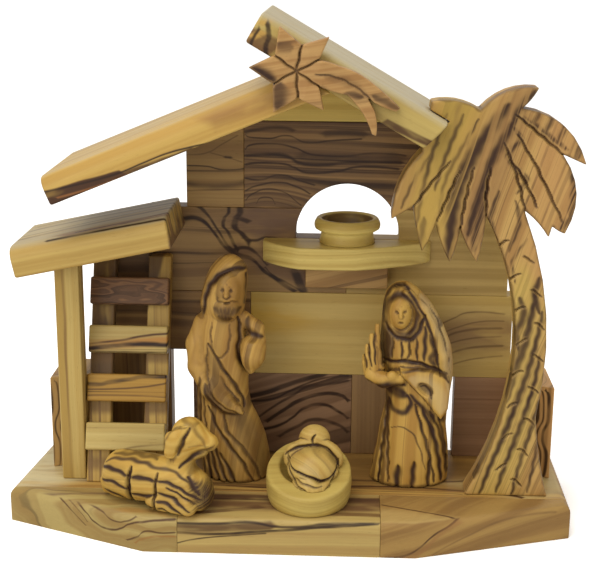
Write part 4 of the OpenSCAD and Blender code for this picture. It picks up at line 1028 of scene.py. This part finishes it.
# Figures: carved in the round, then drawn over with a gouge, each in its own place
def man_clay():
    c = Clay((-23, -14, 0), (17, 14, 104.5), CLAY_STEP)
    c.draw("""
        add rings 0 cap=1.2 0,0.2,0,15.3,12.8 5,0.2,0,15.8,12.8 12,-0.3,0,15.6,12.3 20,-1.6,0,15.2,11.6 \
        28,-3.6,0,13.9,10.8 34,-5.2,0,12.4,10.4 42,-6,0,11.8,10.4 50,-5.9,0,11.9,10.6 58,-6.2,0,11.2,10.6 \
        66,-6,0,11,10.4 72,-6,0,10.4,9.6 77,-5.5,0,9.2,8.8 82,-5.6,0,10.2,10 88,-4.7,0,9.9,10.2 \
        93,-3.7,0,9.4,9.2 98,-2.8,0,8.2,7.4 101,-2.4,0,6.4,5.6 103,-2.3,0,4,3.6 104,-2.3,0,2,1.8
        # Left arm down to the pointed sleeve, right arm with its short wide sleeve
        add tube 1.6 k=1.5 -14.5,-1,73,4 -17.2,-2,63,4.8 -16.2,-4,53,4.8 -10,-8,43.5,5 -3,-10,37.5,3.8 \
        3,-11.4,34.5,1.8
        add tube 1.2 k=1.2 4,-1,75,3.4 9.6,-2,71,3.4 11.2,-4,65.5,3
        add tube 1 k=2 8.4,-5,62.5,6 8,-6,58.5,5.4 7,-7,53.2,2.4
        cut ball 0.8 turn=-28 7.6,-9.6,69.6 4.4,5,3.2
        # Hood: a deep recess with the face and the beard in it
        cut ball 1.4 -2.9,-12.6,89.5 6.9,5.6,9.6
        add ball 0.9 -2.9,-6.4,89.8 5.6,4.9,8.2
        add ball 1.2 -3.6,-7.4,80.6 5.9,4.6,5
        add tube 0.7 k=0.5 -2.9,-10.8,91.5,0.7 -2.9,-11.9,88,0.95
        gouge 0.8 0.7 front=-6 -5.4,90.2 -4.1,90.4
        gouge 0.8 0.7 front=-6 -1.7,90.4 -0.4,90.2
        gouge 0.6 -0.35 front=-6 -5.9,92.3 -4.2,92.8 -3.3,92.3
        gouge 0.6 -0.35 front=-6 -2.5,92.3 -1.6,92.8 0.1,92.3
        gouge 0.55 0.6 front=-6 -4.3,84.4 -2.9,84.2 -1.5,84.4
        gouge 0.6 -0.5 front=-6 -7.4,85.5 -5.2,86 -2.9,85.6 -0.6,86 1.6,85.5""")
    # Strands of the beard
    for x in (-7.2, -5.4, -3.6, -1.8, 0.0):
        c.stroke([(x, 82.8), (x * 0.75 - 0.9, 76.6)], 0.55, 0.45, -6)
    # Dark wood in the beard and down the long sleeve; painted shade in the mouth of the short sleeve, and a
    # band of painted contact shadow round the foot
    c.draw("""
        gouge 0.9 1 soot=1 spread=1.7 -13.4,78 -12.6,85.4 -10.3,91.4 -6.6,95.8 -1.6,98.8 4.6,98.6
        gouge 0.7 0.8 soot=0.95 spread=1.4 5.2,96.5 5.6,90 4.6,82
        # Dark wood in the beard, in the mouth of the short sleeve and down the long one
        soot 2.6 0.8 -8,82 -4,80.6 2.4,81.2
        soot 2.6 0.85 -6.4,78.4 -1,77.4
        soot 1.5 0.95 front=8 6.2,76.4 5.8,72 7.6,69
        soot 1.4 0.95 front=8 5.6,70.2 9,68.8 12.6,68.2
        soot 4 0.42 -10.4,61 -9.4,52 -6.6,44 -1,38
        soot 2 0.85 -12.6,47 -10.6,41 -6.6,36.4 -1.6,33.4 4.2,32.6
        soot 5.6 0.5 2,31 6.6,24 10.6,14 13,3
        soot 3.4 0.3 -3,32 4,27
        soot 1.6 0.7 front=6 -17.5,46 -16.4,30 -16,10
        soot 1.2 0.7 front=8 -15,0.4 0,0.4 15,0.4
        # Gouge lines of the robe
        gouge 0.8 1.1 soot=0.9 -11.4,65.6 -6.2,56.4 -1,48.2 2.8,41 4.6,35
        gouge 0.8 0.8 soot=0.45 -11.6,65 -12.2,57 -11.6,50 -10.4,44 -6,38 3.4,33
        gouge 0.8 0.4 soot=0.5 -6.4,51 -1.6,42.6 2.2,37.4
        gouge 0.5 0.5 soot=0.6 -9.6,75 -10.2,68 -8.8,61.6 -6,58.8 -3.2,61.4 -1.8,67 -1.7,74
        gouge 0.8 1.2 soot=0.95 1.6,77 2.4,69 1.6,61 3.6,55 6.8,49.5
        gouge 0.8 1 soot=0.8 -11.5,36 -7.4,26 -1.4,17.4 4.4,9.4 8.6,0
        gouge 0.8 0.8 soot=0.75 -4.4,33 -3,25 3.4,17.4 8.8,9.4 12.4,0
        gouge 2.2 -0.6 -8,34 -5.2,25 0.6,17.6 6.6,9.4 10.5,0""")
    # Folds at the foot of the robe
    for top, foot in (((-15.4, 15), (-13.4, -1)), ((-13.4, 19), (-9.8, -1)), ((-11.2, 18), (-6.2, -1)),
                      ((-8.8, 17), (-2.6, -1)), ((-6.3, 14), (1.4, -1))):
        c.stroke([top, ((top[0] + foot[0]) / 2 - 0.4, 8), foot], 0.9, 1.0, soot=0.9)
    c.draw("""
        gouge 0.7 0.8 -15.2,50 -15.8,36 -16.2,22
        gouge 0.6 0.6 -13.6,42 -13.6,32 -12.6,22""")
    return c.mesh("man_wood", (-25, 7, DECK))


carved("man", man_clay(), "190/150/76", "156/116/56", "bark", 37.5, grain=(0, -80, 20), pith=(4, 16), ring=5,
      line=4.4, line_power=0.75, centre=(-26, 7, 60))


def woman_clay():
    c = Clay((-24, -15, 0), (20, 14.5, 93.5), CLAY_STEP)
    c.draw("""
        add rings 0 cap=1.2 0,-0.5,0,17.9,13.6 6,0.15,0,17.7,13.4 16,1,0,16.3,12.6 27,1,0,14.9,11.8 \
        37,2.4,0,14,11.3 45,2.8,0,14.8,11.6 53,2.5,0,15.9,11.9 64,1,0,16,11.9 74,-0.8,0,13.8,11.3 \
        83,-3,0,11,10.2 89,-5,0,7.8,7.4 92,-5.5,0,4.6,4.2 93,-5.6,0,2.4,2.2
        # Veil: a recess for the face, and a raised band down the right side
        cut ball 1.4 -6.2,-12.6,80.5 7.2,6.2,10.8
        cut tube 1.4 k=1.5 -5.5,-15.5,71,5.2 -3,-16,62,6
        add ball 0.8 -6.4,-6.6,80.8 5.1,4.7,7.8
        add tube 1.4 k=1.5 -3.5,-7.4,90,2 3,-8.6,82.5,2.6 8.4,-8.4,71.5,3 12.4,-7,61,3 14.6,-4.6,50,3
        add tube 0.6 k=0.5 -6.4,-11,83.2,0.55 -6.4,-11.9,80,0.8
        gouge 0.7 0.6 front=-6 -8.9,81.9 -7.6,82.1
        gouge 0.7 0.6 front=-6 -5.2,82.1 -3.9,81.9
        gouge 0.5 -0.25 front=-6 -9.2,83.7 -7.8,84.1 -6.9,83.7
        gouge 0.5 -0.25 front=-6 -5.9,83.7 -5,84.1 -3.6,83.7
        gouge 0.5 0.5 front=-6 -7.5,77 -6.4,76.8 -5.3,77
        # Forearms and the palm of the raised hand
        add tube 1.2 k=1.2 -6.5,-10.8,51.5,3 -13,-10.8,50.6,3.4 -18.6,-8.8,52.6,3.2
        add ball 0.6 -9.6,-12.6,53.2 2.5,2,2.3""")
    # The raised hand's four fingers
    for joints in (((-15.0, -8.6, 56, 2.3), (-16.0, -8.2, 66, 2.0), (-16.3, -7.6, 74.6, 1.2)),
                   ((-17.4, -9.4, 55, 2.2), (-18.4, -9.2, 64, 1.9), (-18.8, -8.8, 70.6, 1.1)),
                   ((-19.2, -8.8, 54, 2.0), (-20.2, -8.6, 60.5, 1.7), (-20.7, -8.2, 65.6, 1.0)),
                   ((-20.6, -7.8, 53.4, 1.6), (-21.4, -7.4, 57.4, 1.4), (-21.9, -7.2, 60.6, 0.9))):
        c.add(c.tube(joints, 0.6), 0.4)
    # The wide sleeve with its hollow
    c.draw("""
        add prism 0.4 y0=-14.4 y1=-6 k=2 -6,56 2.4,57 9,55.2 15.4,52.6 16.2,47 15.6,38.3 12.6,33.2 9,37.4 \
        5.2,42.6 1,46.8 -2.6,50.6 -5.8,53.8
        cut ball 0.6 turn=-38 5.2,-15,47.6 4.4,3.4,2.7
        cut ball 1.2 -5.5,-14.6,43.5 6.4,3.6,5.2
        cut tube 0.8 k=0.5 0.5,-13.4,42,1.2 7,-13,34.4,1.2 11,-12,29,1""")
    # A ring of painted shade round the face, in the veil's recess; gouge lines round the face, down the veil,
    # over the chest, and the sash
    ring = [(-6.4 + 7.2 * math.cos(math.radians(a)), 79.6 + 9.4 * math.sin(math.radians(a)))
            for a in range(0, 361, 24)]
    c.stain(ring, 1.5, 0.95, 2)
    # Painted shadow below the face and at both sides of the chest
    # Painted shadow below the hands and the sleeve, and in the sleeve's hollow
    c.draw("""
        gouge 0.7 0.9 soot=1 spread=1.5 -13.6,58 -14.6,68 -14.4,78 -13.4,86 -10.4,91 -5.9,92.4 -1.6,88.8 \
        3,81.4 6.2,75 9.2,65 11.4,54
        gouge 0.6 0.5 soot=0 6.2,83.5 11,73.5 14.8,61 16.6,50
        pale 2.6 0.5 front=6 2.4,87.6 8.2,79.6 12.8,69 15.6,56 16.6,44
        dark 1.2 0.6 front=6 9.6,78 12.4,74
        gouge 0.9 1 soot=1 spread=1.5 -13,76 -10.8,72.2 -6.4,69.6 -1.6,69.8 1.8,74 4.2,81
        gouge 0.5 0.7 front=-2 soot=0.9 -9.4,70 -9.8,60
        gouge 0.5 0.7 front=-2 soot=0.9 -5.6,68.6 -5.2,60
        gouge 0.5 0.7 front=-2 soot=0.9 -2.6,69.4 -2,64 -3,60
        gouge 0.5 0.7 front=-2 soot=0.9 0.8,71 1.2,60
        # Heartwood below the face and at both sides of the chest
        soot 2 0.85 -12.4,74.4 -9,71.8 -4,70.8 0,72.6 2.4,77
        soot 2.2 0.9 -11.4,73 -11.2,66 -11.6,59
        soot 2.6 0.95 -13.4,74 -12.6,66 -12.8,57
        soot 1.4 0.9 -11.4,70 -11.4,60
        soot 1.2 0.95 4.6,76 4.6,68 4.4,60
        soot 1.4 0.9 6.4,72 9,65 7.4,61 10.2,56
        gouge 0.8 1.1 front=-2 soot=1 spread=1.6 -14,58 -6,59.2 2.4,58.8 8.4,56.4 12.5,54.6
        # Heartwood below the hands and the sleeve
        soot 2.8 0.95 -14,47.6 -8.6,45.6 -3.4,44.6
        soot 2.4 0.95 front=-2 -17,48.4 -11,48.8 -4,48.4
        soot 2.2 0.85 -14.6,45 -12.4,40 -11.4,34
        soot 2 0.9 -12,44.8 -7,43.6 -2,43.4
        soot 1.3 0.9 -2.6,44 -0.8,39.6 -3.6,35.4 -8.4,35.8 -10.4,40.4
        soot 1.4 0.9 -1,44 3,39.4 7.4,34.6 11.4,29
        soot 0.8 0.9 -5.6,55.4 4,56.6 11,55 15.6,51
        dark 1.8 0.9 8.4,34 12.4,31.6 16,30
        soot 0.4 0.8 -9.4,27.4 -6,28.4 -1.6,27.4 1.6,24 4.4,17 6.4,9
        pale 4.6 0.45 front=-4 -0.6,52.4 6,49.8 11.6,44 12.4,38
        soot 0.9 0.95 3.4,48.2 5.4,48.8 7.6,46.4 7.8,43.4
        gouge 0.8 0.9 soot=0.9 spread=1 -10.4,40 -11.6,27 -13.4,12 -14.4,0
        gouge 0.9 0.9 soot=0.95 spread=1 -12.8,42 -16,24 -18,4
        gouge 0.8 0.9 soot=0.9 spread=1 -15.6,30 -18.6,14 -20,2
        gouge 0.6 0.9 soot=0.8 spread=1 -10.8,32 -10.4,14 -10.2,2
        gouge 0.8 0.9 soot=0.9 spread=1 0.8,40 4.4,28 8,16 11,2
        gouge 1.3 0.9 soot=1 spread=1 4,38 9.4,26 12.4,14 14.2,2
        gouge 0.8 0.9 soot=0.9 spread=1 7.4,36 12.4,26 15.2,14 16.6,4
        gouge 0.9 0.9 soot=0.9 spread=1 12.2,32 15.4,18 17.2,4""")
    # Folds at the foot of the robe
    for x, top, wide in ((-6.0, 10.6, 2.0), (1.0, 12.6, 1.5), (8.0, 13, 1.1)):
        c.stroke([(x + 0.4, top), (x, 5), (x - 0.2, 0)], wide, 0.8, soot=0.95, spread=0.9)
    # A dark band round the foot is painted contact shadow where the robe stands on the deck
    # Painted shade between the fingers and under the forearm
    c.draw("""
        soot 1.4 0.8 front=8 -17,0.4 0,0.4 17,0.4
        # Between the fingers and along the forearm
        soot 0.6 0.95 front=4 -16.9,58 -17.7,68 -17.9,73.6
        soot 0.6 0.95 front=4 -18.8,57 -19.8,64 -20.2,68.6
        soot 0.6 0.95 front=4 -20.6,56 -21.4,60 -21.9,63
        soot 0.6 0.95 front=4 -13.6,56.5 -14.4,66 -14.8,74
        soot 1.1 0.8 -21.6,51 -16,47.6 -8,47.4""")
    return c.mesh("woman_wood", (55, 7, DECK))


carved("woman", woman_clay(), "194/154/74", "170/128/58", "bark", 38.2, grain=(0, -86, 30),
       pith=(2, 14), warp=6, ring=5, line=5, lines=(0.58, 0.66), line_power=0.7, centre=(55, 7, 60))


# Where the manger stands on the deck
MANGER = (9.6, -20.4)


def bowl(c):
    """The manger's round block with its sloping rim and its hollow."""
    outer = c.rings([(0, 0, 0, 17.0, 18.8), (1.2, 0, 0, 17.8, 19.7), (3, 0, 0, 18.3, 20.2),
                     (9.5, 0, 0, 18.9, 20.9), (21, 0, 0, 17.9, 20.1)], cap=0.8)
    # The rim rises from 9 mm at the front by 12 mm in 42 mm
    slope = math.atan(12 / 42)
    top = (c.z - 9) * math.cos(slope) - (c.y + 21) * math.sin(slope)
    hollow = c.ball(((0, 1.3, 20), (13.6, 15.1, 15.7)))
    return smax(smax(outer, top + 0 * outer, 1.4), -hollow, 1.2)


def manger_clay():
    c = Clay((-19, -21, 0), (19, 21, 21), CLAY_STEP)
    c.d = bowl(c)
    return c.mesh("manger_wood", (*MANGER, DECK))


carved("manger", manger_clay(), "194/170/92", "172/144/72", "umber", 39.8, grain=(0, 0, 10), pith=(-8, -30),
      lines=(0.7, 0.85), line_power=0.3, centre=(9, -20, 26))


def child_clay():
    c = Clay((-13, -19, 0), (17, 16, 35), FINE_STEP)
    # The swaddled body in two rolls, the head, and the collar of cloth behind the shoulders
    c.draw("""
        add ball 0 1.9,-9,9.8 9.3,7.4,6.6
        add ball 0.7 1.9,-3.4,16.4 11.2,9.8,8.6
        add tube 0.8 k=1 1.9,1.6,18,7.4 2.2,4.8,24.6,6.4
        add ball 0.4 2.2,5.2,26.6 6.9,6,6.4""")
    arc = [(1.9 + 10.5 * math.cos(math.radians(a)), 1.6, 19.0 + 6.9 * math.sin(math.radians(a)), 2.5)
           for a in range(-24, 205, 12)]
    c.add(c.tube(arc, 0.6), 0.3)
    # A painted highlight on the body
    # The broad low gouge is also painted shadow where the child meets the manger's rim
    c.draw("""
        gouge 0.5 1.2 front=2 soot=0.9 2.6,30.4 1.6,28.6 1.4,26.6
        gouge 0.7 1.2 front=2 soot=1 -10.2,20.8 -8,23 -4,25 0,25.8 5,25.8 8.4,24 11.4,20.6 12.8,17
        gouge 0.6 1.2 soot=1 -9.6,22.4 -8.4,19.8 -5.4,17.6 -1.2,16.9 2.6,15.4 6,14.4 9.4,14.8 11.8,17 \
        12.8,20
        gouge 0.5 0.8 soot=0.8 -9.4,20 -7.6,15.6 -4.6,12.4 -0.6,10.6
        gouge 0.4 0.5 soot=0.6 -5.6,14.6 -1,13.2 3.4,12.6 6.4,12.8
        gouge 0.5 0.6 soot=0.85 7.6,11 9.6,12.6 11.4,16
        gouge 0.6 0.6 soot=0.8 -4.6,11 -1,9.6 3,9 6.6,9.8 8.8,11.4
        gouge 1.1 0.5 soot=1 -5.6,8.4 -1.6,6.8 2.4,6.4 6.6,7.4 9,9.4
        pale 4.5 0.3 -3,19 4,16""")
    # Cut free of the manger's wood, and flat below
    c.d = smax(c.d, -bowl(c) + 0.1, 0)
    c.d = smax(c.d, 1.2 - c.z + 0 * c.d, 0)
    return c.mesh("child_wood", (*MANGER, DECK))


carved("child", child_clay(), "198/168/92", "176/140/70", "bark", 40.6, grain=(20, 10, 80),
       pith=(3, -14), ring=5, line=5, lines=(0.6, 0.68), line_power=0.6, centre=(11, -20, 34))


def sheep_clay():
    c = Clay((-27.5, -11.5, 0), (30, 11.5, 45), CLAY_STEP)
    c.draw("""
        add rings x 0 smooth=1.5 cap=1 -26,0,9.8,3,3.2 -24.4,0,10.2,7,8 -21.5,0,10.8,8.9,10.2 \
        -18,0,11,9.6,11 -5,0,11.1,10,11.1 6,0,11,9.9,11 14,0,10.4,9.5,10.2 19,0,9.4,8.9,9.2 23.5,0,8.6,7,7.4 \
        26,0,8.2,3,3.4
        add tube 2 k=2 11.6,0.8,15,6.4 11.4,0.8,26.5,5.4 15,1.4,33.8,7.3 24.4,2,31.6,3.7
        add tube 1.2 k=1 12,0.8,25,5 20.8,1.6,27.6,3
        # The leaf-shaped ear, its edge carved free of the head
        add tube 0.4 k=1 flat=0.45 15.2,-4.6,38.4,1.2 11.4,-6.2,33.6,4 8.8,-5.4,27,2.6
        gouge 0.8 1.3 soot=1 spread=1.2 17.6,39 16.4,35 14.6,31 12.2,26.4
        soot 0.5 0.6 17,39.4 12,38.4 8.4,34 6.8,29
        add tube 0.8 k=1 2,-7.6,4.6,3.8 18,-7,4.6,4.2
        add tube 0.8 k=1 -23.2,-4,8.5,3 -24.2,-2,4,2.6
        # Wool: two upright cuts, and the dark lines of the grain followed by a gouge
        knife 1.3 2.2 soot=1 -9.8,-1 -9.5,8 -9,18.4
        knife 0.9 1.6 soot=0.9 3.4,-1 3.7,9 4,17.6""")
    for _, (wide,), _, path in rows("""
        1.1 -24,15.2 -20,16.2 -15,15.8 -9.6,14.4
        1.1 -9,13.8 -3,15 3.6,14.2
        1 -23.6,10.2 -19,10.8 -15,10.2 -10.4,8
        1 -8.6,6.6 -3,6.6 3.2,8
        1 -23.6,4.8 -18,4.6 -14,2.4 -10.4,-0.4
        1.1 -8.8,0.6 -3,2 3.2,2.6
        0.9 4.2,14.8 10.6,14.4 16.6,12.2 23.6,8.4
        0.5 9,12.6 14.4,10.6 21.6,6.6
        0.9 4.6,9.4 9.4,9 14.2,7.4 20.6,3.6
        0.9 4.6,5.8 8.4,6.2 13,4.2 17,1
        0.7 4.6,2.4 8,2.8 11,0.6
        0.9 17,17.4 20.4,14 23.4,10"""):
        c.stroke(path, wide, 0.6, 0, soot=1.0, spread=1.1)
        c.stain(path, wide * 2.6, 0.24, 0)
    # Head: the crown and snout, the jaw, and painted shadow below it
    # The chest below the head is darkened as painted shadow
    c.draw("""
        soot 0.7 0.85 front=3 -23,17.6 -18,20 -10,20.6 -2,20.2 4,19.2 9,19.6 14,17.8 19,14.8
        soot 0.5 0.7 front=8 -20,21 -10,22 2,21.8
        soot 2.6 0.7 front=10 20.5,15 24.6,9.5 25.4,1
        dark 4 1 front=10 20.5,15 24.6,9.5 25.4,1
        # Head: the crown and snout, the jaw, and the shade below it
        soot 0.7 0.5 front=2 11.6,41 17,40.4 20,37.6 23,33.6 24.4,30.6
        soot 1.6 0.45 front=2 17.6,38.6 19.6,39.6
        soot 0.4 0.35 front=2 17,31 22,31.4 26.4,31
        gouge 0.9 0.9 soot=1 29.6,32.4 26,29.8 20.6,27.4 16,23.6 13,20.4
        soot 3 0.55 front=6 29.6,29.4 24.6,26.4 19.6,22.4 18,18""")
    # Flat below, on the deck
    c.d = smax(c.d, 0.02 - c.z + 0 * c.d, 0)
    return c.mesh("sheep_wood", (-56, -27.8, DECK), -20.0)


carved("sheep", sheep_clay(), "204/168/84", "184/142/60", "bark", 41.4, grain=(38, -6, -20),
       pith=(0, 44), warp=3, ring=5, line=5, lines=(0.62, 0.7), line_power=0.6, centre=(-56, -28, 28))


# Floor, light and camera

def floor_material():
    """White paper: seen straight it is white to its far end; what it reflects stays plain."""
    m = bpy.data.materials.new("white_paper")
    m.use_nodes = True
    shader = next(n for n in m.node_tree.nodes if n.type == "BSDF_PRINCIPLED")
    path = m.node_tree.nodes.new("ShaderNodeLightPath")
    pick = m.node_tree.nodes.new("ShaderNodeMix")
    pick.data_type = "RGBA"
    pick.inputs[6].default_value = (0.8, 0.8, 0.8, 1)
    pick.inputs[7].default_value = (1.5, 1.5, 1.5, 1)
    m.node_tree.links.new(path.outputs["Is Camera Ray"], pick.inputs["Factor"])
    m.node_tree.links.new(pick.outputs[2], shader.inputs["Base Color"])
    shader.inputs["Roughness"].default_value = 0.9
    shader.inputs["Specular IOR Level"].default_value = 0.0
    return m


# The floor reaches this far each way, in metres
SPAN = 12.0
floor_mesh = bpy.data.meshes.new("floor")
floor_mesh.from_pydata([(x, y, 0) for x, y in ((-SPAN, -SPAN), (SPAN, -SPAN), (SPAN, SPAN), (-SPAN, SPAN))],
                       [], [(0, 1, 2, 3)])
floor_mesh.materials.append(floor_material())
floor = bpy.data.objects.new("floor", floor_mesh)
bpy.context.scene.collection.objects.link(floor)

# The background is white where it is seen, and a softer, warmer fill where it lights
world = bpy.data.worlds.new("studio")
bpy.context.scene.world = world
world.use_nodes = True
tree = world.node_tree
tree.nodes.clear()
ray_kind = tree.nodes.new("ShaderNodeLightPath")
pick = tree.nodes.new("ShaderNodeMixShader")
tree.links.new(ray_kind.outputs["Is Camera Ray"], pick.inputs[0])
for i, (colour, strength) in enumerate((((1, 0.985, 0.96, 1), 0.72), ((1, 1, 1, 1), 1.0))):
    back = tree.nodes.new("ShaderNodeBackground")
    back.inputs["Color"].default_value = colour
    back.inputs["Strength"].default_value = strength
    tree.links.new(back.outputs[0], pick.inputs[i + 1])
out = tree.nodes.new("ShaderNodeOutputWorld")
tree.links.new(pick.outputs[0], out.inputs["Surface"])


def lamp(name, place, size, power):
    light = bpy.data.lights.new(name, "AREA")
    light.shape = "DISK"
    light.size = size
    light.energy = power
    light.color = (1, 0.97, 0.93)
    holder = bpy.data.objects.new(name, light)
    bpy.context.scene.collection.objects.link(holder)
    holder.location = place
    # It aims at the middle of the stable
    holder.rotation_euler = (Vector((0, 0, 0.1)) - Vector(place)).to_track_quat("-Z", "Y").to_euler()


lamp("top_light", (-0.25, -0.35, 1.25), 0.8, 6.5)
lamp("front_light", (-0.7, -1.3, 0.7), 0.9, 5.0)

# The photograph's viewpoint: its place in metres, and its pitch, heading and roll in degrees
VIEWPOINT = (0.0249, -0.5355, 0.2546)
PITCH, HEADING, ROLL = 15.27, -2.21, -0.475
camera_data = bpy.data.cameras.new("camera")
camera_data.lens = 75.96
camera_data.sensor_width = 36
camera = bpy.data.objects.new("camera", camera_data)
bpy.context.scene.collection.objects.link(camera)
pitch, heading, roll = [math.radians(a) for a in (PITCH, HEADING, ROLL)]
forward = Vector((math.sin(heading) * math.cos(pitch), math.cos(heading) * math.cos(pitch), -math.sin(pitch)))
level = Vector((math.cos(heading), -math.sin(heading), 0))
down = forward.cross(level)
side = math.cos(roll) * level + math.sin(roll) * down
drop = -math.sin(roll) * level + math.cos(roll) * down
turned_to = Matrix((side, -drop, -forward)).transposed()
camera.matrix_world = Matrix.Translation(VIEWPOINT) @ turned_to.to_4x4()
bpy.context.scene.camera = camera
bpy.context.scene.view_settings.view_transform = "Standard"

bpy.context.view_layer.update()
